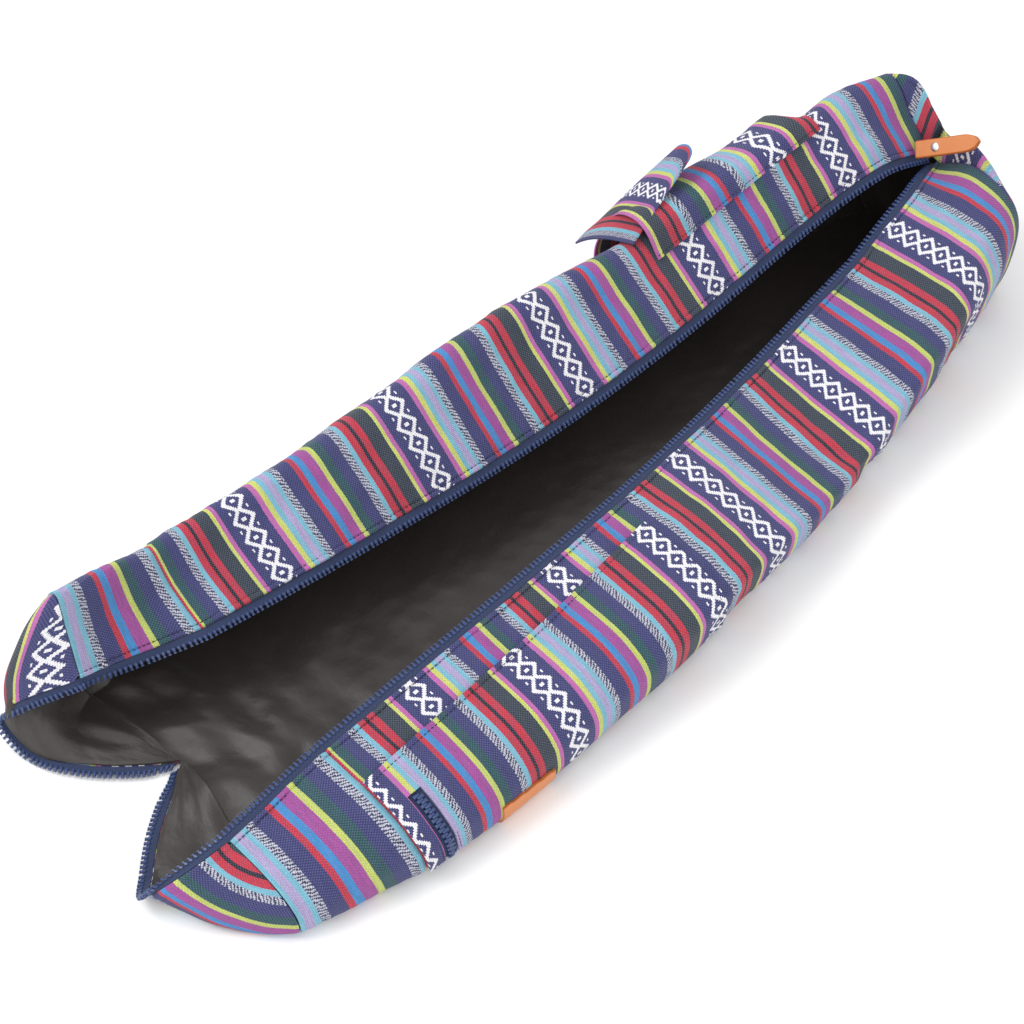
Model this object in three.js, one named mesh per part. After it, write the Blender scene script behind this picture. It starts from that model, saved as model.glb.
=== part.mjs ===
// Opened tube bag for a rolled mat, lying on a floor: striped cotton walls, black
// lining, a long parted zip, a flap pocket, a zip pocket and a folded leather tab.
// Millimetres, +Z up, +X from the open near end to the closed far end.
// +Y is the side of the flap pocket.
import * as THREE from 'three';

// Driving sizes
const BODY_LENGTH = 700;
const DISC_DIAMETER = 170;
const BAND_LENGTH = 77;
const CLOTH = 2.0;
const LINING = 1.0;
const GAP = 0.3;
const SEAM_GAP = 1.4;
const END_GAP = 1.0;
const TAPE_WIDTH = 6.6;
const TAPE_THICK = 1.2;
const TEETH_WIDTH = 3.0;
const TEETH_THICK = 2.6;
const POCKET_LENGTH = 148;
const POCKET_DEPTH = 15;
const POCKET_GIRTH = 96;
const FLAP_LENGTH = 72;
const PANEL_LENGTH = 252;
const PANEL_THICK = 1.5;
const PANEL_LIFT = 1.6;
const WINDOW_WIDTH = 14;
const TAB_LENGTH = 50;
const TAB_WIDTH = 14;
const TAB_THICK = 1.4;
const RIVET_DIAMETER = 6.5;
const PATCH_LENGTH = 42;
const PATCH_HEIGHT = 16;
const PATCH_THICK = 1.6;

// Grid steps
const BODY_ROWS = 18;
const BAND_ROWS = 3;
const GIRTH_STEPS = 29;
const CUP_ROWS = 5;
const END_ROWS = 6;

// One row per section of the wall. x is a share of the body length, the others are
// shares of the disc diameter: the left lip, inner slope, crest, side and foot, then the
// right foot, side, shoulder, crest and lip. Feet lie on the floor.
const SECTION_COLUMNS = [
  'x',
  'lipLeftY', 'lipLeftZ', 'slopeLeftY', 'slopeLeftZ', 'crestLeftY', 'crestLeftZ',
  'sideLeftY', 'sideLeftZ', 'footLeftY',
  'footRightY', 'sideRightY', 'sideRightZ', 'shoulderRightY', 'shoulderRightZ',
  'crestRightY', 'crestRightZ', 'lipRightY', 'lipRightZ',
];
const SECTIONS = [
  [0.000, 0.655, 0.320, 0.706, 0.505, 0.765, 0.668, 0.880, 0.430, 0.770, -0.455, -0.508, 0.075, -0.450, 0.160, -0.340, 0.218, -0.188, 0.253],
  [0.110, 0.500, 0.353, 0.650, 0.440, 0.780, 0.560, 0.880, 0.320, 0.760, -0.570, -0.628, 0.105, -0.550, 0.205, -0.385, 0.270, -0.165, 0.295],
  [0.330, 0.380, 0.345, 0.545, 0.505, 0.705, 0.598, 0.835, 0.330, 0.730, -0.588, -0.665, 0.165, -0.560, 0.270, -0.345, 0.305, -0.160, 0.335],
  [0.504, 0.324, 0.335, 0.506, 0.500, 0.678, 0.640, 0.795, 0.350, 0.695, -0.560, -0.664, 0.232, -0.570, 0.300, -0.380, 0.335, -0.122, 0.335],
  [0.680, 0.300, 0.370, 0.450, 0.490, 0.625, 0.600, 0.750, 0.345, 0.640, -0.495, -0.592, 0.190, -0.480, 0.226, -0.270, 0.255, -0.038, 0.308],
  [0.856, 0.272, 0.485, 0.388, 0.610, 0.530, 0.690, 0.680, 0.370, 0.560, -0.370, -0.470, 0.310, -0.410, 0.390, -0.235, 0.396, 0.035, 0.380],
  [0.943, 0.224, 0.547, 0.325, 0.640, 0.510, 0.745, 0.650, 0.390, 0.510, -0.290, -0.385, 0.300, -0.335, 0.460, -0.190, 0.490, 0.045, 0.480],
  [1.000, 0.178, 0.500, 0.270, 0.600, 0.430, 0.760, 0.600, 0.390, 0.450, -0.225, -0.300, 0.270, -0.268, 0.480, -0.120, 0.575, 0.045, 0.515],
];
// One row per point round the near seam, as the share of its girth from the left lip and
// how far the seam is set back, a share of the disc diameter.
const SEAM_SETBACK = [
  [0.00, 0.045], [0.12, 0.075], [0.30, 0.110], [0.45, 0.160], [0.57, 0.188],
  [0.70, 0.110], [0.85, 0.000], [1.00, -0.012],
];
// One row per point along each zip edge of the near end, from the lip corner to the notch
// at the bottom: x, y and z as shares of the disc diameter, then the way the tape lies.
const EDGE_LEFT = [
  [0.045, 0.655, 0.320, 0.00, -0.83, -0.56], [-0.118, 0.806, 0.206, -0.30, -0.70, -0.60],
  [-0.153, 0.862, 0.106, -0.95, 0.15, -0.25], [-0.147, 0.765, 0.012, -0.97, -0.20, 0.00],
  [-0.112, 0.632, 0.010, -0.85, -0.50, 0.00], [-0.030, 0.505, 0.010, -0.75, -0.65, 0.00],
  [0.096, 0.385, 0.008, -0.75, -0.65, 0.00], [0.188, 0.322, 0.000, -0.90, -0.40, 0.00],
];
const EDGE_RIGHT = [
  [-0.012, -0.188, 0.253, 0.00, 1.00, 0.00], [-0.147, -0.165, 0.218, -0.15, 0.95, -0.10],
  [-0.260, -0.115, 0.150, -0.60, 0.75, -0.15], [-0.278, -0.055, 0.070, -0.90, 0.35, -0.20],
  [-0.212, 0.018, 0.014, -0.80, 0.60, 0.00], [-0.088, 0.130, 0.010, -0.72, 0.69, 0.00],
  [0.047, 0.224, 0.008, -0.72, 0.69, 0.00], [0.188, 0.322, 0.000, -0.90, 0.30, 0.00],
];
// A point inside each half of the near end, at its lip and at its notch.
const CORES = {
  left: [new THREE.Vector3(0.08, 0.76, 0.27), new THREE.Vector3(0.09, 0.55, 0.20)],
  right: [new THREE.Vector3(0.05, -0.23, 0.13), new THREE.Vector3(0.09, 0.05, 0.14)],
};

const clamp = (value, low, high) => Math.min(high, Math.max(low, value));
const mix = (a, b, t) => a + (b - a) * t;
const smooth = (t) => {
  const s = clamp(t, 0, 1);
  return s * s * (3 - 2 * s);
};

// Cubic through a list of numbers at parameter t, in steps of one.
function cubic(values, t) {
  const last = values.length - 1;
  const i = clamp(Math.floor(t), 0, last - 1);
  const s = t - i;
  const p0 = i > 0 ? values[i - 1] : 2 * values[0] - values[1];
  const p1 = values[i];
  const p2 = values[i + 1];
  const p3 = i + 2 <= last ? values[i + 2] : 2 * values[last] - values[last - 1];
  const m1 = (p2 - p0) / 2;
  const m2 = (p3 - p1) / 2;
  const s2 = s * s;
  const s3 = s2 * s;
  return (2 * s3 - 3 * s2 + 1) * p1 + (s3 - 2 * s2 + s) * m1
    + (3 * s2 - 2 * s3) * p2 + (s3 - s2) * m2;
}

// Where x falls in the column of section positions, in rows.
function rowAt(x) {
  const last = SECTIONS.length - 1;
  for (let i = 0; i < last; i += 1) {
    if (x <= SECTIONS[i + 1][0] || i === last - 1) {
      return i + (x - SECTIONS[i][0]) / (SECTIONS[i + 1][0] - SECTIONS[i][0]);
    }
  }
  return last;
}

function tableValue(rows, column, at) {
  return cubic(rows.map((row) => row[column]), at);
}

// Straight reading of a two-column table.
function lookUp(rows, at) {
  for (let i = 0; i + 1 < rows.length; i += 1) {
    if (at <= rows[i + 1][0]) {
      return mix(rows[i][1], rows[i + 1][1], (at - rows[i][0]) / (rows[i + 1][0] - rows[i][0]));
    }
  }
  return rows[rows.length - 1][1];
}

// The outer section at a share of the length, as evenly spaced points from lip to lip.
const sectionCache = new Map();
function sectionAt(share) {
  const key = Math.round(share * 1e5);
  if (sectionCache.has(key)) {
    return sectionCache.get(key);
  }
  const row = rowAt(clamp(share, 0, 1));
  const value = {};
  SECTION_COLUMNS.forEach((name, column) => {
    value[name] = tableValue(SECTIONS, column, row) * DISC_DIAMETER;
  });
  const left = [
    [value.lipLeftY, value.lipLeftZ], [value.slopeLeftY, value.slopeLeftZ],
    [value.crestLeftY, value.crestLeftZ], [value.sideLeftY, value.sideLeftZ],
    [value.footLeftY, 0], [mix(value.footLeftY, value.footRightY, 0.34), 0],
  ];
  const right = [
    [mix(value.footLeftY, value.footRightY, 0.66), 0], [value.footRightY, 0],
    [value.sideRightY, value.sideRightZ], [value.shoulderRightY, value.shoulderRightZ],
    [value.crestRightY, value.crestRightZ], [value.lipRightY, value.lipRightZ],
  ];
  const fine = [];
  [left, right].forEach((points) => {
    const ys = points.map((p) => p[0]);
    const zs = points.map((p) => p[1]);
    for (let k = 0; k <= 100; k += 1) {
      const t = (k / 100) * (points.length - 1);
      fine.push([cubic(ys, t), Math.max(0, cubic(zs, t))]);
    }
  });
  const along = [0];
  for (let k = 1; k < fine.length; k += 1) {
    along.push(along[k - 1] + Math.hypot(fine[k][0] - fine[k - 1][0], fine[k][1] - fine[k - 1][1]));
  }
  const section = { fine, along, girth: along[along.length - 1] };
  sectionCache.set(key, section);
  return section;
}

// The point of the outer wall at a share of the length and a share of the girth.
function wallPoint(share, girth) {
  const section = sectionAt(share);
  const want = clamp(girth, 0, 1) * section.girth;
  let k = 1;
  while (k < section.along.length - 1 && section.along[k] < want) {
    k += 1;
  }
  const step = section.along[k] - section.along[k - 1];
  const s = step > 0 ? (want - section.along[k - 1]) / step : 0;
  const y = mix(section.fine[k - 1][0], section.fine[k][0], s);
  const z = mix(section.fine[k - 1][1], section.fine[k][1], s);
  const setback = lookUp(SEAM_SETBACK, clamp(girth, 0, 1)) * DISC_DIAMETER;
  const x = share * BODY_LENGTH + setback * (1 - smooth(share / 0.22));
  return new THREE.Vector3(x, y, z);
}

// The unit normal of a surface function at (a, b), by central differences.
function normalOf(surface, a, b, da, db) {
  const alongA = surface(a + da, b).sub(surface(a - da, b));
  const alongB = surface(a, b + db).sub(surface(a, b - db));
  return alongB.cross(alongA).normalize();
}

function wallNormal(share, girth) {
  const a = clamp(share, 0.004, 0.996);
  const b = clamp(girth, 0.008, 0.992);
  return normalOf(wallPoint, a, b, 0.004, 0.008).negate();
}

// The wall moved out along its normal, in millimetres; negative is inward.
function wallOffset(share, girth, out) {
  const point = wallPoint(share, girth);
  const normal = wallNormal(share, girth);
  if (point.z < 0.01 && normal.z < -0.5) {
    normal.set(0, 0, -1);
  }
  return point.addScaledVector(normal, out);
}

// The girth share at which the bottom of the near seam meets the notch.
const NOTCH_GIRTH = (() => {
  const target = EDGE_LEFT[EDGE_LEFT.length - 1][1] * DISC_DIAMETER;
  let low = 0.4;
  let high = 0.75;
  for (let k = 0; k < 40; k += 1) {
    const half = (low + high) / 2;
    if (wallPoint(0, half).y > target) {
      low = half;
    } else {
      high = half;
    }
  }
  return low;
})();

function edgePoint(rows, t) {
  const at = clamp(t, 0, 1) * (rows.length - 1);
  return new THREE.Vector3(
    tableValue(rows, 0, at) * DISC_DIAMETER,
    tableValue(rows, 1, at) * DISC_DIAMETER,
    Math.max(0, tableValue(rows, 2, at) * DISC_DIAMETER),
  );
}

// One half of the near end between the seam and its zip edge. depth runs from the seam
// to the edge, t from the lip corner to the notch.
function cupPoint(side, depth, t) {
  const isLeft = side > 0;
  const girth = isLeft ? t * NOTCH_GIRTH : 1 - t * (1 - NOTCH_GIRTH);
  const seam = wallPoint(0, girth);
  if (t < 1e-4 || t > 1 - 1e-4) {
    return seam;
  }
  const edge = edgePoint(isLeft ? EDGE_LEFT : EDGE_RIGHT, t);
  const swell = 4 * depth * (1 - depth) * Math.sin(Math.PI * clamp(t, 0, 1)) * DISC_DIAMETER;
  const push = isLeft
    ? new THREE.Vector3(-0.055, 0.050, -0.006)
    : new THREE.Vector3(-0.020, -0.030, -0.050);
  const point = seam.lerp(edge, depth).addScaledVector(push, swell);
  point.z = Math.max(0, point.z);
  return point;
}

function cupNormal(side, depth, t) {
  const a = clamp(depth, 0.03, 0.97);
  const b = clamp(t, 0.03, 0.97);
  const normal = normalOf((p, q) => cupPoint(side, p, q), a, b, 0.02, 0.02);
  const ends = side > 0 ? CORES.left : CORES.right;
  const core = ends[0].clone().lerp(ends[1], t).multiplyScalar(DISC_DIAMETER);
  const fromCore = cupPoint(side, depth, t).sub(core).normalize();
  if (normal.dot(fromCore) < 0) {
    normal.negate();
  }
  return normal.multiplyScalar(0.8).add(fromCore).normalize();
}

function cupOffset(side, depth, t, out) {
  const point = cupPoint(side, depth, t);
  const fromWall = wallNormal(0, side > 0 ? t * NOTCH_GIRTH : 1 - t * (1 - NOTCH_GIRTH));
  const near = smooth(Math.min(depth / 0.42, Math.min(t, 1 - t) / 0.08));
  const normal = fromWall.lerp(cupNormal(side, depth, t), near).normalize();
  if (point.z < 0.6) {
    normal.set(0, 0, -1);
  }
  return point.addScaledVector(normal, out);
}

// The far end: rings shrink from the seam to a centre, swell outward, and rise behind
// the sunken end of the zip. depth is 0 at the seam and 1 at the centre.
function endPoint(depth, girth) {
  const seam = wallPoint(1, girth);
  const centre = new THREE.Vector3(BODY_LENGTH, DISC_DIAMETER * 0.14, DISC_DIAMETER * 0.34);
  const point = seam.lerp(centre, depth);
  const swell = Math.sin((Math.PI / 2) * Math.min(1, depth * 1.8));
  point.x += DISC_DIAMETER * 0.065 * swell;
  const across = (point.y - DISC_DIAMETER * 0.17) / (DISC_DIAMETER * 0.30);
  const top = smooth((point.z - DISC_DIAMETER * 0.36) / (DISC_DIAMETER * 0.1));
  const rise = Math.exp(-across * across) * Math.sin(Math.PI * clamp(depth / 0.62, 0, 1));
  point.z += DISC_DIAMETER * 0.16 * rise * top;
  return point;
}

function endOffset(depth, girth, out) {
  const point = endPoint(depth, girth);
  const a = clamp(depth, 0.03, 0.97);
  const around = (p, q) => endPoint(p, ((q % 1) + 1) % 1);
  const face = normalOf(around, a, clamp(girth, 0.02, 0.98), 0.02, 0.015);
  if (face.x < 0) {
    face.negate();
  }
  const near = smooth(depth / 0.25);
  const normal = wallNormal(1, girth).lerp(face, near).normalize();
  return point.addScaledVector(normal, out);
}

// A closed solid between two matching grids of points. place(i, j) gives the outer and
// the inner point; keep(i, j) says which cells exist; wrap joins the last column to the first.
function thickSheet(rows, columns, place, keep = () => true, wrap = false) {
  const outer = [];
  const inner = [];
  const seen = new Map();
  const index = [];
  for (let i = 0; i <= rows; i += 1) {
    index.push([]);
    for (let j = 0; j <= columns; j += 1) {
      const pair = place(i, wrap && j === columns ? 0 : j);
      const key = pair.map((p) => p.toArray().map((v) => Math.round(v * 500)).join(',')).join(';');
      if (!seen.has(key)) {
        seen.set(key, outer.length);
        outer.push(pair[0]);
        inner.push(pair[1]);
      }
      index[i].push(seen.get(key));
    }
  }
  const faces = [];
  const addFace = (a, b, c) => {
    if (a !== b && b !== c && a !== c) {
      faces.push([a, b, c]);
    }
  };
  for (let i = 0; i < rows; i += 1) {
    for (let j = 0; j < columns; j += 1) {
      if (keep(i, j)) {
        addFace(index[i][j], index[i + 1][j], index[i + 1][j + 1]);
        addFace(index[i][j], index[i + 1][j + 1], index[i][j + 1]);
      }
    }
  }
  const count = outer.length;
  const edges = new Set();
  faces.forEach(([a, b, c]) => {
    edges.add(`${a},${b}`);
    edges.add(`${b},${c}`);
    edges.add(`${c},${a}`);
  });
  const triangles = [];
  faces.forEach(([a, b, c]) => {
    triangles.push([a, b, c], [c + count, b + count, a + count]);
    [[a, b], [b, c], [c, a]].forEach(([p, q]) => {
      if (!edges.has(`${q},${p}`)) {
        triangles.push([q, p, p + count], [q, p + count, q + count]);
      }
    });
  });
  const points = outer.concat(inner);
  return solidFrom(points, triangles);
}

// A geometry from points and triangles, turned outward if its volume comes out negative.
function solidFrom(points, triangles) {
  let volume = 0;
  const cross = new THREE.Vector3();
  triangles.forEach(([a, b, c]) => {
    volume += points[a].dot(cross.copy(points[b]).cross(points[c]));
  });
  const order = volume < 0 ? [0, 2, 1] : [0, 1, 2];
  const geometry = new THREE.BufferGeometry();
  const flat = [];
  points.forEach((p) => flat.push(p.x, p.y, p.z));
  geometry.setAttribute('position', new THREE.Float32BufferAttribute(flat, 3));
  geometry.setIndex(triangles.flatMap((t) => order.map((k) => t[k])));
  geometry.computeVertexNormals();
  return geometry;
}

// A closed bar whose cross-section corners(i) gives the same number of points at each
// station along a path.
function sweptBar(stations, corners) {
  const points = [];
  const sides = corners(0).length;
  for (let i = 0; i <= stations; i += 1) {
    points.push(...corners(i));
  }
  const triangles = [];
  for (let i = 0; i < stations; i += 1) {
    for (let k = 0; k < sides; k += 1) {
      const a = i * sides + k;
      const b = i * sides + ((k + 1) % sides);
      triangles.push([a, b, b + sides], [a, b + sides, a + sides]);
    }
  }
  for (let k = 1; k + 1 < sides; k += 1) {
    const end = stations * sides;
    triangles.push([0, k + 1, k], [end, end + k, end + k + 1]);
  }
  return solidFrom(points, triangles);
}

const cottonMaterial = new THREE.MeshStandardMaterial({ color: 0x4c4f86, roughness: 0.9, metalness: 0 });
const pocketMaterial = new THREE.MeshStandardMaterial({ color: 0x56598e, roughness: 0.9, metalness: 0 });
const liningMaterial = new THREE.MeshStandardMaterial({ color: 0x24211f, roughness: 0.8, metalness: 0 });
const tapeMaterial = new THREE.MeshStandardMaterial({ color: 0x34466f, roughness: 0.8, metalness: 0 });
const teethMaterial = new THREE.MeshStandardMaterial({ color: 0x4a5a85, roughness: 0.35, metalness: 0 });
const leatherMaterial = new THREE.MeshStandardMaterial({ color: 0xd68a58, roughness: 0.55, metalness: 0 });
const rivetMaterial = new THREE.MeshStandardMaterial({ color: 0xe4e4e2, roughness: 0.3, metalness: 1 });

const group = new THREE.Group();
function add(name, geometry, material) {
  const mesh = new THREE.Mesh(geometry, material);
  mesh.name = name;
  group.add(mesh);
}

const bandShare = BAND_LENGTH / BODY_LENGTH;
const halfGap = GAP / 2 / BODY_LENGTH;

// Girth stops shared by every sheet of the wall, with one of them at the notch.
const leftSteps = Math.round(GIRTH_STEPS * NOTCH_GIRTH);
const rightSteps = GIRTH_STEPS - leftSteps;
const girthStop = (j) => (j <= leftSteps
  ? (j / leftSteps) * NOTCH_GIRTH
  : mix(NOTCH_GIRTH, 1, (j - leftSteps) / rightSteps));

// Main wall and near band
function wallSheet(from, to, rows, outOffset, inOffset) {
  return thickSheet(rows, GIRTH_STEPS, (i, j) => {
    const share = mix(from, to, i / rows);
    return [wallOffset(share, girthStop(j), outOffset), wallOffset(share, girthStop(j), inOffset)];
  });
}
add('body_shell', wallSheet(bandShare + halfGap, 1, BODY_ROWS, 0, -CLOTH), cottonMaterial);
add('near_band', wallSheet(GAP / BODY_LENGTH, bandShare - halfGap, BAND_ROWS, 0, -CLOTH), cottonMaterial);

// Halves of the near end. Their rows run the way the lining's do, so that the facets of
// the two lie parallel.
function cupSheet(side, steps) {
  return thickSheet(CUP_ROWS, steps, (i, j) => {
    const t = clamp(j / steps, 0.012, 0.988);
    const depth = Math.max(0.025, side > 0 ? 1 - i / CUP_ROWS : i / CUP_ROWS);
    return [cupOffset(side, depth, t, 0), cupOffset(side, depth, t, -CLOTH)];
  });
}
add('near_disc_left', cupSheet(1, leftSteps), cottonMaterial);
add('near_disc_right', cupSheet(-1, rightSteps), cottonMaterial);

// Far end, of cloth and of lining
function endSheet(outOffset, inOffset) {
  return thickSheet(END_ROWS, GIRTH_STEPS, (i, j) => {
    const depth = i / END_ROWS;
    const girth = girthStop(j);
    const pair = [endOffset(depth, girth, outOffset), endOffset(depth, girth, inOffset)];
    pair.forEach((p) => {
      p.x += END_GAP;
    });
    return pair;
  }, () => true, true);
}
add('far_disc', endSheet(0, -CLOTH), cottonMaterial);
add('end_lining', endSheet(-CLOTH - GAP, -CLOTH - GAP - LINING), liningMaterial);

// Lining: rows of the near halves from the zip edge to the seam, then rows of the wall
const liningOut = -CLOTH - GAP;
const liningIn = liningOut - LINING;
const liningRows = CUP_ROWS + BAND_ROWS + BODY_ROWS;
add('lining', thickSheet(liningRows, GIRTH_STEPS, (i, j) => {
  const offsets = [liningOut, liningIn];
  if (i < CUP_ROWS) {
    const side = j <= leftSteps ? 1 : -1;
    const t = side > 0 ? j / leftSteps : (GIRTH_STEPS - j) / rightSteps;
    return offsets.map((out) => cupOffset(side, 1 - i / CUP_ROWS, t, out));
  }
  const row = i - CUP_ROWS;
  const share = row <= BAND_ROWS
    ? (row / BAND_ROWS) * bandShare
    : mix(bandShare, 1, (row - BAND_ROWS) / BODY_ROWS);
  return offsets.map((out) => wallOffset(share, girthStop(j), out));
}), liningMaterial);

// Main zip: a tape and a row of teeth along each lip and on round the near end. Its
// stations are the stops of the wall and of the near halves.
const lipStations = BAND_ROWS + BODY_ROWS;
const lipShare = (i) => (i <= BODY_ROWS
  ? mix(1, bandShare, i / BODY_ROWS)
  : mix(bandShare, 0, (i - BODY_ROWS) / BAND_ROWS));
function zipStation(side, i) {
  const lip = side > 0 ? 0 : 1;
  if (i <= lipStations) {
    const share = lipShare(i);
    const away = wallPoint(share, lip).sub(wallPoint(share, side > 0 ? 0.02 : 0.98)).normalize();
    return { point: wallOffset(share, lip, -CLOTH / 2 - GAP), away, reach: 1 };
  }
  const t = (i - lipStations) / (side > 0 ? leftSteps : rightSteps);
  const rows = side > 0 ? EDGE_LEFT : EDGE_RIGHT;
  const at = t * (rows.length - 1);
  const away = new THREE.Vector3(...[3, 4, 5].map((column) => tableValue(rows, column, at)));
  const point = cupOffset(side, 1, t, -CLOTH / 2 - GAP);
  return { point, away: away.normalize(), reach: clamp((1 - t) / 0.16, 0.3, 1) };
}
function zipBar(side, from, to, thick) {
  const stations = lipStations + (side > 0 ? leftSteps : rightSteps) - 1;
  return sweptBar(stations, (i) => {
    const { point, away, reach } = zipStation(side, i);
    const along = zipStation(side, Math.min(i + 1, stations)).point.clone()
      .sub(zipStation(side, Math.max(i - 1, 0)).point);
    const across = along.cross(away).normalize();
    return [[from, 0.5], [to, 0.5], [to, -0.5], [from, -0.5]].map(([out, half]) => {
      const start = i > lipStations ? SEAM_GAP : GAP;
      const corner = point.clone().addScaledVector(away, start + (out - GAP) * reach)
        .addScaledVector(across, half * thick);
      corner.z = Math.max(0.2, corner.z);
      return corner;
    });
  });
}
const teethStart = GAP + TAPE_WIDTH + 4 * GAP;
const teethEnd = teethStart + TEETH_WIDTH;
[['left', 1], ['right', -1]].forEach(([name, side]) => {
  add(`zip_tape_${name}`, zipBar(side, GAP, GAP + TAPE_WIDTH, TAPE_THICK), tapeMaterial);
  add(`zip_teeth_${name}`, zipBar(side, teethStart, teethEnd, TEETH_THICK), teethMaterial);
});

// Patches on the wall are placed by their distance along the bag and their distance from
// a lip round the wall.
function overWall(x, arc, out, side) {
  const share = x / BODY_LENGTH;
  const girth = arc / sectionAt(share).girth;
  return wallOffset(share, side > 0 ? girth : 1 - girth, out);
}

// A sheet of its own thickness under a surface function of two shares.
function sheetUnder(rows, columns, surface, thick, keep) {
  return thickSheet(rows, columns, (i, j) => {
    const a = i / rows;
    const b = j / columns;
    const outer = surface(a, b);
    const normal = normalOf(surface, clamp(a, 0.01, 0.99), clamp(b, 0.01, 0.99), 0.01, 0.01);
    const away = outer.clone().sub(surface.wall(a, b));
    if (normal.dot(away) < 0) {
      normal.negate();
    }
    return [outer, outer.clone().addScaledVector(normal, -thick)];
  }, keep);
}

// Flap pocket: a box of cloth that stands off the left wall, open toward the near end
const pocketX = BODY_LENGTH * 0.69;
const pocketArc = DISC_DIAMETER * 0.26;
function pocketSurface(a, b) {
  const x = pocketX + a * POCKET_LENGTH;
  const arc = pocketArc + b * POCKET_GIRTH;
  const edge = Math.min(b, 1 - b) * POCKET_GIRTH;
  const close = (1 - a) * POCKET_LENGTH;
  const rise = smooth(edge / (POCKET_DEPTH * 0.7)) * smooth(close / (POCKET_DEPTH * 0.8));
  return overWall(x, arc, 1.2 + POCKET_DEPTH * rise, 1);
}
pocketSurface.wall = (a, b) => overWall(
  pocketX + a * POCKET_LENGTH,
  pocketArc + b * POCKET_GIRTH,
  -POCKET_DEPTH,
  1,
);
add('flap_pocket', sheetUnder(12, 13, pocketSurface, 1.0), pocketMaterial);

// Flap over the pocket mouth: sewn to the wall, rising to the pocket and lifted past it
const flapReach = FLAP_LENGTH + POCKET_DEPTH * 0.9;
function flapPlace(a, b) {
  const corner = smooth((a - 0.78) / 0.22);
  const b2 = mix(b, clamp(b, 0.08, 0.92), corner);
  const skew = b * DISC_DIAMETER * 0.12;
  const x = pocketX - POCKET_DEPTH - skew * (1 - a) + a * flapReach;
  const arc = pocketArc + POCKET_DEPTH * 0.5 + b2 * (POCKET_GIRTH - POCKET_DEPTH);
  return { x, arc };
}
function flapSurface(a, b) {
  const { x, arc } = flapPlace(a, b);
  const run = Math.max(0, x - (pocketX - POCKET_DEPTH * 1.4));
  const lift = (POCKET_DEPTH + 3.6) * smooth((a * flapReach) / (POCKET_DEPTH * 0.62));
  return overWall(x, arc, 1.2 + lift + run * 0.07, 1);
}
flapSurface.wall = (a, b) => {
  const { x, arc } = flapPlace(a, b);
  return overWall(x, arc, -POCKET_DEPTH, 1);
};
add('pocket_flap', sheetUnder(10, 9, flapSurface, 1.2), pocketMaterial);

// Zip pocket: a patch on the right wall with a window for its short zip. The first rows
// lie on both sides of the window.
const panelX = BAND_LENGTH;
const windowX = panelX + WINDOW_WIDTH * 0.9;
const hemArc = (x) => mix(DISC_DIAMETER * 0.188, DISC_DIAMETER * 0.14, (x - panelX) / PANEL_LENGTH);
function floorArc(x) {
  let arc = DISC_DIAMETER * 0.3;
  while (arc < DISC_DIAMETER && overWall(x, arc, 0, -1).z > DISC_DIAMETER * 0.05) {
    arc += 1;
  }
  return arc;
}
const panelStops = [panelX + 0.3, windowX, windowX + WINDOW_WIDTH];
for (let k = 1; k <= 10; k += 1) {
  panelStops.push(mix(windowX + WINDOW_WIDTH, panelX + PANEL_LENGTH, k / 10));
}
const panelColumns = 9;
const windowColumn = 3;
const panelArc = (x, j) => mix(hemArc(x), floorArc(x), j / panelColumns);
add('zip_pocket_panel', thickSheet(panelStops.length - 1, panelColumns, (i, j) => {
  const x = panelStops[i];
  const arc = panelArc(x, j);
  return [overWall(x, arc, PANEL_LIFT + PANEL_THICK, -1), overWall(x, arc, PANEL_LIFT, -1)];
}, (i, j) => i !== 1 || j < windowColumn), pocketMaterial);

// Short zip of that pocket, closed, in the window
function windowSheet(inset, low, high, topInset) {
  const columns = panelColumns - windowColumn;
  return thickSheet(2, columns, (i, j) => {
    const x = mix(windowX + inset, windowX + WINDOW_WIDTH - inset, i / 2);
    const top = panelArc(x, windowColumn) + topInset;
    const arc = mix(top, floorArc(x), j / columns);
    return [overWall(x, arc, high, -1), overWall(x, arc, low, -1)];
  });
}
add('pocket_zip_tape', windowSheet(GAP, PANEL_LIFT - 0.4, PANEL_LIFT + 0.3, GAP), tapeMaterial);
add('pocket_zip_teeth', windowSheet(WINDOW_WIDTH * 0.28, PANEL_LIFT + 0.6, PANEL_LIFT + 1.8, 2), teethMaterial);

// Plain leather patch low on the right wall
const patchX = BODY_LENGTH * 0.193;
add('leather_patch', thickSheet(4, 3, (i, j) => {
  const x = patchX + (i / 4) * PATCH_LENGTH;
  const low = floorArc(x) + 1;
  const arc = low - PATCH_HEIGHT * (1 - j / 3);
  const base = PANEL_LIFT + PANEL_THICK + 0.7;
  return [overWall(x, arc, base + PATCH_THICK, -1), overWall(x, arc, base, -1)];
}), leatherMaterial);

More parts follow.
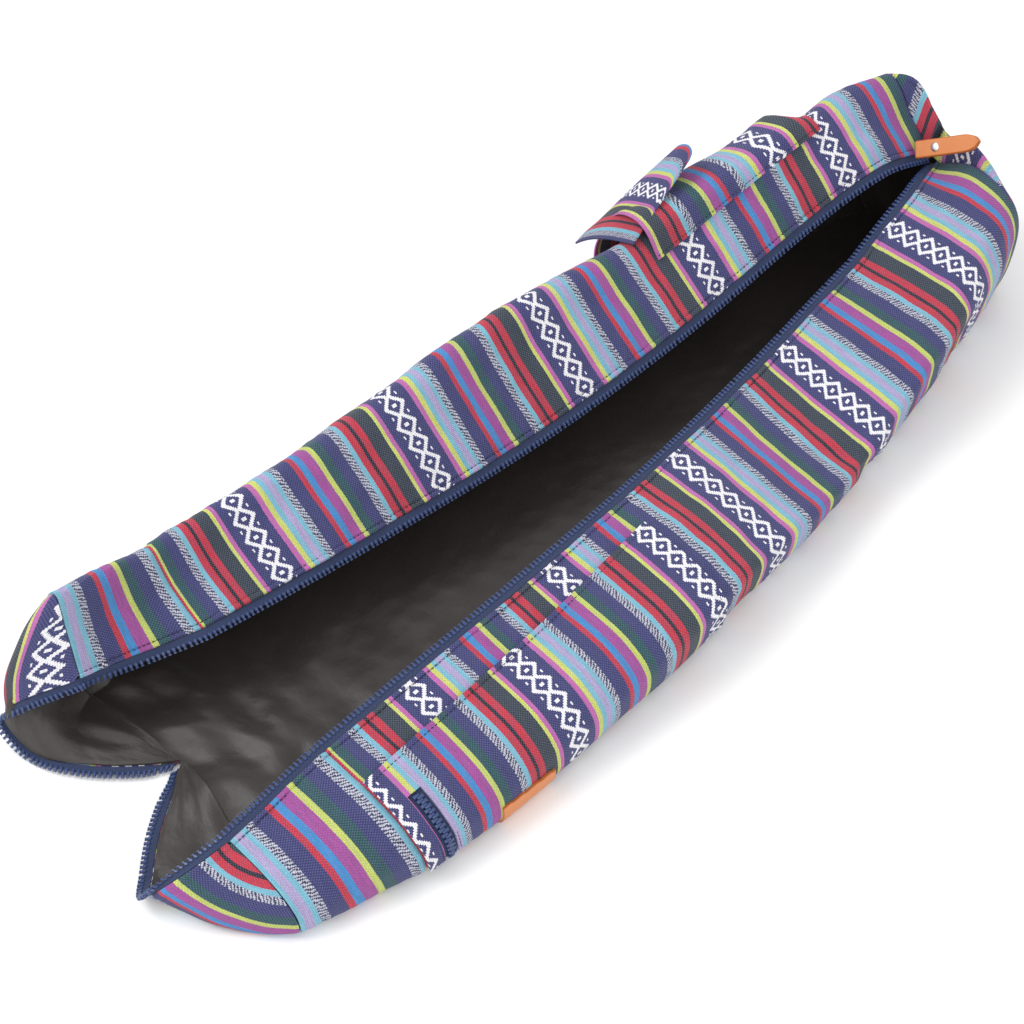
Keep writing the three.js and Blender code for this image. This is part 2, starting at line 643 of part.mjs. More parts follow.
// Folded leather tab at the far end of the zip: the path runs from the tip along the top
// layer, round the fold and back under it.
const tabFold = new THREE.Vector3(BODY_LENGTH - 13, DISC_DIAMETER * 0.194, DISC_DIAMETER * 0.544);
const tabRun = new THREE.Vector3(0.226, -0.830, 0.510).normalize();
const tabSide = new THREE.Vector3(0.52, 0.62, 0.59);
tabSide.addScaledVector(tabRun, -tabSide.dot(tabRun)).normalize();
const tabUp = tabRun.clone().cross(tabSide).normalize();
if (tabUp.z < 0) {
  tabUp.negate();
}
const foldRadius = TAB_THICK * 0.5 + 0.8;
function tabPath(s) {
  const straight = TAB_LENGTH;
  const turn = Math.PI * foldRadius;
  const along = s * (2 * straight + turn);
  let run = 0;
  let up = 0;
  let facing = [0, 1];
  if (along <= straight) {
    run = straight - along;
    up = foldRadius;
  } else if (along < straight + turn) {
    const angle = ((along - straight) / turn) * Math.PI;
    run = -foldRadius * Math.sin(angle);
    up = foldRadius * Math.cos(angle);
    facing = [-Math.sin(angle), Math.cos(angle)];
  } else {
    run = along - straight - turn;
    up = -foldRadius;
    facing = [0, -1];
  }
  const curl = Math.max(0, run) ** 2 / TAB_LENGTH * 0.06;
  const point = tabFold.clone().addScaledVector(tabRun, run).addScaledVector(tabUp, up + curl);
  const normal = new THREE.Vector3().addScaledVector(tabRun, facing[0]).addScaledVector(tabUp, facing[1]);
  return { point, normal, run };
}
const tabRows = 14;
add('pull_tab', thickSheet(tabRows, 4, (i, j) => {
  const layer = i / tabRows;
  const bend = layer < 0.5 ? 0.5 * (2 * layer) ** 0.8 : 1 - 0.5 * (2 * (1 - layer)) ** 0.8;
  const { point, normal, run } = tabPath(bend);
  const tip = clamp((run - (TAB_LENGTH - TAB_WIDTH * 0.6)) / (TAB_WIDTH * 0.6), 0, 1);
  const wide = (TAB_WIDTH / 2) * Math.max(0.25, Math.sqrt(1 - 0.94 * tip * tip));
  const centre = point.addScaledVector(tabSide, wide * (j / 2 - 1));
  return [
    centre.clone().addScaledVector(normal, TAB_THICK / 2),
    centre.clone().addScaledVector(normal, -TAB_THICK / 2),
  ];
}), leatherMaterial);

// Domed rivet on the tab
const rivetSeat = tabFold.clone().addScaledVector(tabRun, TAB_LENGTH * 0.3);
rivetSeat.addScaledVector(tabUp, foldRadius + TAB_THICK / 2 + 0.8);
const dome = [new THREE.Vector2(0, 0)];
for (let k = 0; k <= 4; k += 1) {
  const angle = (k / 4) * (Math.PI / 2);
  dome.push(new THREE.Vector2((RIVET_DIAMETER / 2) * Math.cos(angle), 1.5 * Math.sin(angle)));
}
dome[dome.length - 1].x = 0;
const rivet = new THREE.LatheGeometry(dome, 14);
rivet.applyQuaternion(new THREE.Quaternion().setFromUnitVectors(new THREE.Vector3(0, 1, 0), tabUp));
rivet.translate(rivetSeat.x, rivetSeat.y, rivetSeat.z);
add('pull_rivet', rivet, rivetMaterial);

// The origin is the middle of the footprint, on the floor
const bounds = new THREE.Box3().setFromObject(group);
const middle = bounds.getCenter(new THREE.Vector3());
group.children.forEach((mesh) => {
  mesh.geometry.translate(-middle.x, -middle.y, 0);
});

export default group;
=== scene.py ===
"""Opened striped cotton mat bag: the looks of every piece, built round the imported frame."""
import math
from functools import partial

import bmesh
import bpy
import numpy as np
from mathutils import Matrix, Vector


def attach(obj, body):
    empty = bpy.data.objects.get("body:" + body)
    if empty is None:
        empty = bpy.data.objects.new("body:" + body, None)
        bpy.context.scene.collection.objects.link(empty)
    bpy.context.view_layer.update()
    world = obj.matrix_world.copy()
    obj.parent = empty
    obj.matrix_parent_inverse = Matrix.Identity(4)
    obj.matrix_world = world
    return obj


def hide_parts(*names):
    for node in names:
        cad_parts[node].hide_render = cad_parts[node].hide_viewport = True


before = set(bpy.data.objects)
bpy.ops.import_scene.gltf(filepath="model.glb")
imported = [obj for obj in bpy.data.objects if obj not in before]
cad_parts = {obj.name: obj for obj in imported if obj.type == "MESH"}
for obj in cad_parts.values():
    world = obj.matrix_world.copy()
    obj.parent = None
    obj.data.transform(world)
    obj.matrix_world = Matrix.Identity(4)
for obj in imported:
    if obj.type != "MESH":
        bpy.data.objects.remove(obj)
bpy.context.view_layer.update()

bl_info = {
    "name": "Striped mat bag",
    "version": (1, 0, 0),
    "blender": (4, 5, 0),
    "location": "3D View > Sidebar > Mat bag",
    "description": "Builds an opened tube bag of striped cotton with its zips, pockets and lining",
    "category": "Add Mesh",
}

MM = 0.001
WALL_GIRTH = 493.0  # round the wall from lip to lip, for the columns of its grid, in mm
POCKET_START = 0.69  # the flap pocket's mouth, as a share of the body length
POCKET_ARC = 0.26  # the pocket's seam from the left lip, as a share of the disc
CUP_DEPTH = 85  # from the near seam to the middle of its disc, in mm
PATCH_START = 0.193  # the leather patch, as a share of the body length
PATCH_LENGTH = 42
PATCH_HEIGHT = 16
PATCH_THICK = 1.6
PATCH_DROP = 5  # how far below the panel's lower edge the patch reaches

# The middle of the footprint in the bag's own millimetres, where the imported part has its
# origin. The bag's own frame has x = 0 at the near seam and y = 0 near the opening.
BAG_MIDDLE = np.array([327.25, 16.81, 0.0])

# Shape of the bag, as shares of its length and of its disc. The part has the same table but for
# seven values on the right of the last two rows, which close the mouth here. Many visible points
# were read off the photograph by casting marked pixels through the fitted camera.
SECTION_COLUMNS = (
    "x",
    "lip_left_y", "lip_left_z", "slope_left_y", "slope_left_z", "crest_left_y", "crest_left_z",
    "side_left_y", "side_left_z", "foot_left_y",
    "foot_right_y", "side_right_y", "side_right_z", "shoulder_right_y", "shoulder_right_z",
    "crest_right_y", "crest_right_z", "lip_right_y", "lip_right_z",
)
SECTIONS = np.array([
    [0.000, 0.655, 0.320, 0.706, 0.505, 0.765, 0.668, 0.880, 0.430, 0.770,
     -0.455, -0.508, 0.075, -0.450, 0.160, -0.340, 0.218, -0.188, 0.253],
    [0.110, 0.500, 0.353, 0.650, 0.440, 0.780, 0.560, 0.880, 0.320, 0.760,
     -0.570, -0.628, 0.105, -0.550, 0.205, -0.385, 0.270, -0.165, 0.295],
    [0.330, 0.380, 0.345, 0.545, 0.505, 0.705, 0.598, 0.835, 0.330, 0.730,
     -0.588, -0.665, 0.165, -0.560, 0.270, -0.345, 0.305, -0.160, 0.335],
    [0.504, 0.324, 0.335, 0.506, 0.500, 0.678, 0.640, 0.795, 0.350, 0.695,
     -0.560, -0.664, 0.232, -0.570, 0.300, -0.380, 0.335, -0.122, 0.335],
    [0.680, 0.300, 0.370, 0.450, 0.490, 0.625, 0.600, 0.750, 0.345, 0.640,
     -0.495, -0.592, 0.190, -0.480, 0.226, -0.270, 0.255, -0.038, 0.308],
    [0.856, 0.272, 0.485, 0.388, 0.610, 0.530, 0.690, 0.680, 0.370, 0.560,
     -0.370, -0.470, 0.310, -0.410, 0.390, -0.235, 0.396, 0.035, 0.380],
    [0.943, 0.224, 0.547, 0.325, 0.640, 0.510, 0.745, 0.650, 0.390, 0.510,
     -0.290, -0.385, 0.300, -0.335, 0.460, -0.175, 0.495, 0.070, 0.480],
    [1.000, 0.178, 0.500, 0.270, 0.600, 0.430, 0.760, 0.600, 0.390, 0.450,
     -0.225, -0.300, 0.270, -0.268, 0.480, -0.060, 0.560, 0.135, 0.470],
])
# How far the near seam is set back, by the share of the girth from the left lip
SEAM_SETBACK = np.array([
    [0.00, 0.045], [0.12, 0.075], [0.30, 0.110], [0.45, 0.160], [0.57, 0.188],
    [0.70, 0.110], [0.85, 0.000], [1.00, -0.012],
])
# The two zip edges of the near end: x, y, z, then the way the tape lies
EDGE_LEFT = np.array([
    [0.045, 0.655, 0.320, 0.00, -0.83, -0.56], [-0.118, 0.806, 0.206, -0.30, -0.70, -0.60],
    [-0.153, 0.862, 0.106, -0.95, 0.15, -0.25], [-0.147, 0.765, 0.012, -0.97, -0.20, 0.00],
    [-0.112, 0.632, 0.010, -0.85, -0.50, 0.00], [-0.030, 0.505, 0.010, -0.75, -0.65, 0.00],
    [0.096, 0.385, 0.008, -0.75, -0.65, 0.00], [0.188, 0.322, 0.000, -0.90, -0.40, 0.00],
])
EDGE_RIGHT = np.array([
    [-0.012, -0.188, 0.253, 0.00, 1.00, 0.00], [-0.147, -0.165, 0.218, -0.15, 0.95, -0.10],
    [-0.260, -0.115, 0.150, -0.60, 0.75, -0.15], [-0.278, -0.055, 0.070, -0.90, 0.35, -0.20],
    [-0.212, 0.018, 0.014, -0.80, 0.60, 0.00], [-0.088, 0.130, 0.010, -0.72, 0.69, 0.00],
    [0.047, 0.224, 0.008, -0.72, 0.69, 0.00], [0.188, 0.322, 0.000, -0.90, 0.30, 0.00],
])
CORES = {
    1: np.array([[0.08, 0.76, 0.27], [0.09, 0.55, 0.20]]),
    -1: np.array([[0.05, -0.23, 0.13], [0.09, 0.05, 0.14]]),
}

# Stripes of one repeat of the cloth from the near edge of the diamond band on: name,
# share of the repeat and colour
STRIPES = (
    ("diamond ground", 0.210, "35386E"),
    ("pink", 0.028, "C468AE"),
    ("lime", 0.024, "D3DA6C"),
    ("cyan", 0.030, "7DBED3"),
    ("lavender", 0.034, "B3A6CF"),
    ("cyan", 0.022, "7DBED3"),
    ("melange", 0.037, "8C8CA0"),
    ("navy", 0.070, "35386E"),
    ("red", 0.029, "C42C3C"),
    ("blue", 0.034, "3E8CCB"),
    ("magenta", 0.055, "A34A97"),
    ("lime", 0.027, "C9D468"),
    ("green", 0.051, "1F4F52"),
    ("navy", 0.060, "35386E"),
    ("melange", 0.042, "8C8CA0"),
    ("cyan", 0.027, "7DBED3"),
    ("red", 0.039, "C42C3C"),
    ("black", 0.018, "1C1A22"),
    ("red", 0.039, "C42C3C"),
    ("charcoal", 0.078, "2C393F"),
    ("lime", 0.020, "D3DA6C"),
    ("pink", 0.026, "C468AE"),
)


def length(name, description, default):
    """A size in metres that the panel shows."""
    return bpy.props.FloatProperty(name=name, description=description, default=default, unit="LENGTH")


def hex_colour(name, description, default):
    """A colour as an sRGB hex value that the panel shows."""
    return bpy.props.StringProperty(name=name, description=description, default=default)


class BagSizes(bpy.types.PropertyGroup):
    """Sizes of the bag, in metres"""

    body_length: length("Body length", "From the near seam to the far seam", 0.700)
    disc_diameter: length("Disc diameter", "Diameter of the ends", 0.170)
    band_length: length("Band length", "Ring of cloth at the near end", 0.077)
    cloth: length("Cloth", "Thickness of the lined cotton wall", 0.002)
    lining: length("Lining", "Thickness of the lining", 0.001)
    gap: length("Gap", "Clearance between layers", 0.0003)
    tape_width: length("Tape width", "Zip tape that shows beside the cloth", 0.0038)
    tooth_pitch: length("Tooth pitch", "Distance from tooth to tooth", 0.0033)
    stripe_repeat: length("Stripe repeat", "Length of one repeat of the stripes", 0.123)
    stripe_start: length("Stripe start", "Where the first repeat starts", 0.0071)
    pocket_length: length("Pocket length", "Length of the flap pocket", 0.148)
    pocket_depth: length("Pocket depth", "How far the pocket stands off", 0.015)
    pocket_girth: length("Pocket girth", "Width of the pocket round the wall", 0.096)
    flap_length: length("Flap length", "Flap past the pocket's mouth", 0.072)
    panel_length: length("Panel length", "Length of the zip pocket", 0.252)
    tab_length: length("Tab length", "Folded length of the leather tab", 0.050)
    tab_width: length("Tab width", "Width of the leather tab", 0.0118)
    rivet_diameter: length("Rivet diameter", "Diameter of the domed rivet", 0.0065)


class BagColours(bpy.types.PropertyGroup):
    """Colours of the bag's materials, as sRGB hex values"""

    lining: hex_colour("Lining", "Black lining", "332C28")
    tape: hex_colour("Tape", "Navy zip tape", "2C3D66")
    teeth: hex_colour("Teeth", "Moulded teeth", "3E4F7C")
    leather: hex_colour("Leather", "Tan leather", "D68A58")
    edge: hex_colour("Leather edge", "Cut edge", "B9642A")
    thread: hex_colour("Thread", "Sewing thread", "1E2238")


def sizes():
    """The bag's sizes in millimetres."""
    group = bpy.context.scene.bag_sizes
    return {key: getattr(group, key) / MM for key in BagSizes.__annotations__}


def linear(hex_value):
    """An sRGB hex value as linear red, green, blue and alpha."""
    value = np.array([int(hex_value[i:i + 2], 16) for i in (0, 2, 4)]) / 255
    low = value / 12.92
    high = ((value + 0.055) / 1.055) ** 2.4
    return (*np.where(value <= 0.04045, low, high), 1.0)


# Numbers and curves

def smooth(t):
    """A ramp from 0 to 1 with flat ends: 3 t squared less 2 t cubed."""
    t = np.clip(t, 0, 1)
    return t * t * (3 - 2 * t)


def mix(a, b, t):
    """The straight blend of a and b."""
    return a + (b - a) * t


def unit(v):
    """Vectors divided by their length."""
    return v / np.maximum(np.linalg.norm(v, axis=-1, keepdims=True), 1e-12)


def cubic(values, t):
    """A uniform Catmull-Rom curve through values along their last axis, at parameters t.

    values has shape (..., n). t has any shape, and the answer has shape (..., *t.shape)."""
    last = values.shape[-1] - 1
    i = np.clip(np.floor(t).astype(int), 0, last - 1)
    s = t - i
    p1 = values[..., i]
    p2 = values[..., i + 1]
    p0 = np.where(i > 0, values[..., np.maximum(i - 1, 0)], 2 * p1 - p2)
    p3 = np.where(i + 2 <= last, values[..., np.minimum(i + 2, last)], 2 * p2 - p1)
    m1 = (p2 - p0) / 2
    m2 = (p3 - p1) / 2
    return ((2 * s ** 3 - 3 * s ** 2 + 1) * p1 + (s ** 3 - 2 * s ** 2 + s) * m1
            + (3 * s ** 2 - 2 * s ** 3) * p2 + (s ** 3 - s ** 2) * m2)


def ripple(x, y, wave, seed):
    """Smooth unevenness between about -1 and 1: five sine waves of near lengths that cross
    each other at angles which the seed turns."""
    total = np.zeros(np.broadcast(x, y).shape)
    for k in range(5):
        angle = seed * 1.7 + k * 2.399
        length = wave * (0.7 + 0.17 * k)
        phase = seed * 3.1 + k * 1.93
        total = total + np.sin(
            (x * math.cos(angle) + y * math.sin(angle)) * 2 * math.pi / length + phase)
    return total / 3.2


# The wall of the bag

def section_table(shares):
    """The outer section at each share of the length: two cubic curves, lip to floor and floor
    to lip, read at 101 even parameters each. Gives y, z and the distance along, per share."""
    size = sizes()
    last = len(SECTIONS) - 1
    stops = SECTIONS[:, 0]
    k = np.clip(np.searchsorted(stops, shares, side="left") - 1, 0, last - 1)
    at = k + (shares - stops[k]) / (stops[k + 1] - stops[k])
    columns = cubic(SECTIONS.T, at) * size["disc_diameter"]
    value = dict(zip(SECTION_COLUMNS, columns))
    floor = np.zeros_like(shares)
    third = mix(value["foot_left_y"], value["foot_right_y"], 0.34)
    two_thirds = mix(value["foot_left_y"], value["foot_right_y"], 0.66)
    left_y = [value["lip_left_y"], value["slope_left_y"], value["crest_left_y"],
              value["side_left_y"], value["foot_left_y"], third]
    left_z = [value["lip_left_z"], value["slope_left_z"], value["crest_left_z"],
              value["side_left_z"], floor, floor]
    right_y = [two_thirds, value["foot_right_y"], value["side_right_y"],
               value["shoulder_right_y"], value["crest_right_y"], value["lip_right_y"]]
    right_z = [floor, floor, value["side_right_z"],
               value["shoulder_right_z"], value["crest_right_z"], value["lip_right_z"]]
    t = np.linspace(0, 5, 101)
    y = np.concatenate([cubic(np.stack(left_y, -1), t), cubic(np.stack(right_y, -1), t)], -1)
    z = np.concatenate([cubic(np.stack(left_z, -1), t), cubic(np.stack(right_z, -1), t)], -1)
    z = np.maximum(z, 0)
    step = np.hypot(np.diff(y, axis=-1), np.diff(z, axis=-1))
    along = np.concatenate([np.zeros((len(shares), 1)), np.cumsum(step, axis=-1)], -1)
    return y, z, along


def girths(shares):
    """The girth of the wall, in millimetres, at each share of the length."""
    flat, back = np.unique(np.clip(np.ravel(shares), 0, 1), return_inverse=True)
    return section_table(flat)[2][:, -1][back].reshape(np.shape(shares))


def wall(share, girth):
    """Points of the outer wall at shares of the length and of the girth from the left lip.

    Each section is read at even distances along it, and the near seam is set back by a
    table that fades out along the bag."""
    size = sizes()
    share, girth = np.broadcast_arrays(np.asarray(share, float), np.asarray(girth, float))
    flat_share = share.ravel()
    flat_girth = np.clip(girth.ravel(), 0, 1)
    rows, back = np.unique(np.clip(flat_share, 0, 1).round(6), return_inverse=True)
    y, z, along = section_table(rows)
    total = along[:, -1:]
    keys = (along / total + 2 * np.arange(len(rows))[:, None]).ravel()
    want = flat_girth + 2 * back
    k = np.clip(np.searchsorted(keys, want), back * along.shape[1] + 1, (back + 1) * along.shape[1] - 1)
    span = keys[k] - keys[k - 1]
    s = np.where(span > 0, (want - keys[k - 1]) / np.maximum(span, 1e-12), 0)
    point_y = mix(y.ravel()[k - 1], y.ravel()[k], s)
    point_z = mix(z.ravel()[k - 1], z.ravel()[k], s)
    setback = np.interp(flat_girth, SEAM_SETBACK[:, 0], SEAM_SETBACK[:, 1]) * size["disc_diameter"]
    point_x = flat_share * size["body_length"] + setback * (1 - smooth(flat_share / 0.22))
    return np.stack([point_x, point_y, point_z], -1).reshape(*share.shape, 3)


def normals_of(surface, a, b, da, db):
    """Unit normals of a surface function by central differences."""
    along_a = surface(a + da, b) - surface(a - da, b)
    along_b = surface(a, b + db) - surface(a, b - db)
    return unit(np.cross(along_b, along_a))


def wall_normals(share, girth):
    """Outward unit normals of the wall."""
    share, girth = np.broadcast_arrays(np.asarray(share, float), np.asarray(girth, float))
    a = np.clip(share, 0.004, 0.996)
    b = np.clip(girth, 0.008, 0.992)
    normal = -normals_of(wall, a, b, 0.004, 0.008)
    on_floor = (wall(share, girth)[..., 2] < 0.01) & (normal[..., 2] < -0.5)
    normal[on_floor] = (0, 0, -1)
    return normal


def off_wall(share, girth, out):
    """The wall moved out along its normals; negative is inward."""
    return wall(share, girth) + wall_normals(share, girth) * np.asarray(out)[..., None]


def over_wall(x, arc, out, side):
    """A point above the wall at a distance along the bag and a distance round it from the
    left lip (side 1) or the right lip (side -1)."""
    share = np.asarray(x, float) / sizes()["body_length"]
    girth = np.asarray(arc, float) / girths(share)
    if side < 0:
        girth = 1 - girth
    return off_wall(share, girth, np.broadcast_to(out, girth.shape))


def notch_girth():
    """The girth share at which the bottom of the near seam meets the notch, the nearest of 2001 even shares.
    """
    target = EDGE_LEFT[-1, 1] * sizes()["disc_diameter"]
    girth = np.linspace(0.4, 0.75, 2001)
    y = wall(np.zeros_like(girth), girth)[:, 1]
    return float(girth[np.argmin(np.abs(y - target))])


# The near end

def edge_curve(rows, t):
    """A zip edge of the near end at shares of its run."""
    at = np.clip(t, 0, 1) * (len(rows) - 1)
    point = np.moveaxis(cubic(rows[:, :3].T, at), 0, -1) * sizes()["disc_diameter"]
    point[..., 2] = np.maximum(point[..., 2], 0)
    return point


def cup_girth(side, t, notch):
    """The girth share of the near seam beside a share of one half's edge."""
    return t * notch if side > 0 else 1 - t * (1 - notch)


def cup(side, depth, t, notch):
    """One half of the near end: a straight blend from the seam to the zip edge, swollen by
    4 d (1 - d) times a sine of t."""
    diameter = sizes()["disc_diameter"]
    depth, t = np.broadcast_arrays(np.asarray(depth, float), np.asarray(t, float))
    seam = wall(np.zeros_like(t), cup_girth(side, np.clip(t, 0, 1), notch))
    edge = edge_curve(EDGE_LEFT if side > 0 else EDGE_RIGHT, t)
    swell = 4 * depth * (1 - depth) * np.sin(math.pi * np.clip(t, 0, 1)) * diameter
    push = np.array([-0.055, 0.050, -0.006]) if side > 0 else np.array([-0.020, -0.030, -0.050])
    point = seam + (edge - seam) * depth[..., None] + push * swell[..., None]
    corner = (t < 1e-4) | (t > 1 - 1e-4)
    point[corner] = seam[corner]
    point[..., 2] = np.maximum(point[..., 2], 0)
    return point


def off_cup(side, depth, t, out, notch):
    """One half of the near end moved out along normals that turn from the wall's at the seam and
    the corners to its own. A core inside the bag settles which way all of them point."""
    diameter = sizes()["disc_diameter"]
    depth, t = np.broadcast_arrays(np.asarray(depth, float), np.asarray(t, float))
    point = cup(side, depth, t, notch)
    own = normals_of(lambda p, q: cup(side, p, q, notch),
                     np.clip(depth, 0.03, 0.97), np.clip(t, 0.03, 0.97), 0.02, 0.02)
    core = mix(CORES[side][0], CORES[side][1], t[..., None]) * diameter
    own = own * np.sign(np.sum(own * unit(point - core)))
    from_wall = wall_normals(np.zeros_like(t), cup_girth(side, t, notch))
    near = smooth(np.minimum(depth / 0.42, np.minimum(t, 1 - t) / 0.08))[..., None]
    normal = unit(mix(from_wall, own, near))
    normal[point[..., 2] < 0.6] = (0, 0, -1)
    return point + normal * np.asarray(out)[..., None]


def end(depth, girth):
    """The far end: rings that shrink from the seam to a centre, swell by a sine of their
    depth, and rise behind the sunken end of the zip."""
    size = sizes()
    diameter = size["disc_diameter"]
    depth, girth = np.broadcast_arrays(np.asarray(depth, float), np.asarray(girth, float))
    seam = wall(np.ones_like(girth), girth)
    centre = np.array([size["body_length"], diameter * 0.14, diameter * 0.34])
    point = seam + (centre - seam) * depth[..., None]
    swell = np.sin(math.pi / 2 * np.minimum(1, depth * 1.8))
    point[..., 0] += diameter * 0.065 * swell
    across = (point[..., 1] - diameter * 0.17) / (diameter * 0.30)
    top = smooth((point[..., 2] - diameter * 0.36) / (diameter * 0.1))
    rise = np.exp(-across * across) * np.sin(math.pi * np.clip(depth / 0.62, 0, 1))
    point[..., 2] += diameter * 0.16 * rise * top
    return point


def off_end(depth, girth, out):
    """The far end moved out along normals that turn from the wall's to its own."""
    depth, girth = np.broadcast_arrays(np.asarray(depth, float), np.asarray(girth, float))
    point = end(depth, girth)
    own = normals_of(lambda p, q: end(p, q % 1.0),
                     np.clip(depth, 0.03, 0.97), np.clip(girth, 0.02, 0.98), 0.02, 0.015)
    own = own * np.sign(np.sum(own[..., 0]))
    normal = unit(mix(wall_normals(np.ones_like(girth), girth), own, smooth(depth / 0.25)[..., None]))
    return point + normal * np.asarray(out)[..., None]


# Meshes from arrays

def grid_quads(rows, columns):
    """Corner indices of the cells of a grid, row by row."""
    index = np.arange(rows * columns).reshape(rows, columns)
    return np.stack([index[:-1, :-1], index[1:, :-1], index[1:, 1:], index[:-1, 1:]], -1).reshape(-1, 4)


def thick_sheet(outer, inner, keep=None):
    """Points and faces of a closed wall between two matching grids of points. Each kept cell
    gives an outer and an inner face, and each border edge a face between the two."""
    rows, columns = outer.shape[:2]
    quads = grid_quads(rows, columns)
    if keep is not None:
        quads = quads[keep.ravel()]
    count = rows * columns
    points = np.concatenate([outer.reshape(-1, 3), inner.reshape(-1, 3)])
    side = np.cross(points[quads[:, 2]] - points[quads[:, 0]], points[quads[:, 3]] - points[quads[:, 1]])
    through = points[quads[:, 0]] - points[quads[:, 0] + count]
    if np.sum(side * through) < 0:
        quads = quads[:, ::-1]
    start = quads.ravel()
    stop = np.roll(quads, -1, axis=1).ravel()
    total = 2 * count
    border = ~np.isin(start * total + stop, stop * total + start)
    rim = np.stack([stop, start, start + count, stop + count], -1)[border]
    return points, np.concatenate([quads, quads[:, ::-1] + count, rim])


def swept(rings):
    """Points and faces of a closed bar through rings of points, with flat ends."""
    count, sides = rings.shape[:2]
    index = np.arange(count * sides).reshape(count, sides)
    after = np.roll(index, -1, axis=1)
    quads = np.stack([index[:-1], after[:-1], after[1:], index[1:]], -1).reshape(-1, 4).tolist()
    return rings.reshape(-1, 3), quads + [index[0][::-1].tolist(), index[-1].tolist()]


def repeated(points, faces, origins, axes):
    """Copies of a small shape: each point is its origin plus the shape's three coordinates
    times that copy's three axes."""
    placed = origins[:, None] + np.einsum("kc,ncd->nkd", points, axes)
    steps = np.arange(len(origins)) * len(points)
    made = [(np.array(group)[None] + steps[:, None, None]).reshape(-1, len(group[0]))
            for group in faces]
    return placed.reshape(-1, 3), [face for group in made for face in group.tolist()]


def add_piece(name, points, faces, material, replaces=(), uv=None, sharp=40, weld=0.0):
    """A piece of the bag: millimetre points in the bag's own frame become a mesh at the
    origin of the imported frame, with its cloth coordinates, finish and body."""
    mesh = bpy.data.meshes.new(name)
    corners_of_faces = faces if isinstance(faces, list) else faces.tolist()
    mesh.from_pydata(((points - BAG_MIDDLE) * MM).tolist(), [], corners_of_faces)
    if uv is not None:
        corners = np.zeros(len(mesh.loops), np.int32)
        mesh.loops.foreach_get("vertex_index", corners)
        mesh.uv_layers.new(name="Cloth").data.foreach_set("uv", uv[corners].astype(np.float32).ravel())
    if weld:
        work = bmesh.new()
        work.from_mesh(mesh)
        bmesh.ops.remove_doubles(work, verts=work.verts, dist=weld * MM)
        bmesh.ops.dissolve_degenerate(work, edges=work.edges, dist=weld * MM)
        work.to_mesh(mesh)
        work.free()
    mesh.shade_smooth()
    mesh.set_sharp_from_angle(angle=math.radians(sharp))
    mesh.materials.append(material)
    mesh.validate()
    piece = bpy.data.objects.new(name, mesh)
    bpy.context.scene.collection.objects.link(piece)
    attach(piece, "root")
    if replaces:
        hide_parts(*replaces)
    return piece


def sheet_piece(name, outer, inner, uv, material, replaces=(), keep=None, weld=0.0):
    """A thick sheet as a piece, with the same cloth coordinates on both of its sides."""
    points, faces = thick_sheet(outer, inner, keep)
    both = np.concatenate([uv.reshape(-1, 2), uv.reshape(-1, 2)])
    return add_piece(name, points, faces, material, replaces, both, weld=weld)


# Materials

def plug(tree, made, inputs):
    """Gives a node's sockets their values or links."""
    for key, value in dict(inputs).items():
        if isinstance(value, bpy.types.NodeSocket):
            tree.links.new(value, made.inputs[key])
        else:
            made.inputs[key].default_value = value


def node(tree, kind, inputs=(), **settings):
    """Adds a node with its settings; inputs are pairs of a socket and a value or a link."""
    made = tree.nodes.new(kind)
    for key, value in settings.items():
        setattr(made, key, value)
    plug(tree, made, inputs)
    return made


def maths(tree, operation, first, second=0.0, third=0.0):
    """The value of one Math node."""
    return node(tree, "ShaderNodeMath", {0: first, 1: second, 2: third}, operation=operation).outputs[0]


def blended(tree, share, first, second, blend="MIX"):
    """A colour mixed from two."""
    made = node(tree, "ShaderNodeMix", {0: share, 6: first, 7: second}, data_type="RGBA", blend_type=blend)
    return made.outputs[2]


def new_material(name):
    """An empty material with its shader: the tree and the shader."""
    material = bpy.data.materials.new(name)
    material.use_nodes = True
    tree = material.node_tree
    return material, tree, tree.nodes["Principled BSDF"]


def cloth_coordinates(tree):
    """The piece's own cloth coordinates, in millimetres: along the bag and along the stripes."""
    uv = node(tree, "ShaderNodeUVMap", uv_map="Cloth")
    both = node(tree, "ShaderNodeSeparateXYZ", {0: uv.outputs[0]})
    return uv.outputs[0], both.outputs[0], both.outputs[1]


def bump(tree, height, millimetres, strength=1.0):
    """A bump from a height between 0 and 1."""
    inputs = {"Strength": strength, "Distance": millimetres * MM, "Height": height}
    return node(tree, "ShaderNodeBump", inputs).outputs["Normal"]


THREAD = 0.95  # thread spacing in mm
DIAMOND_CELL = 1.05


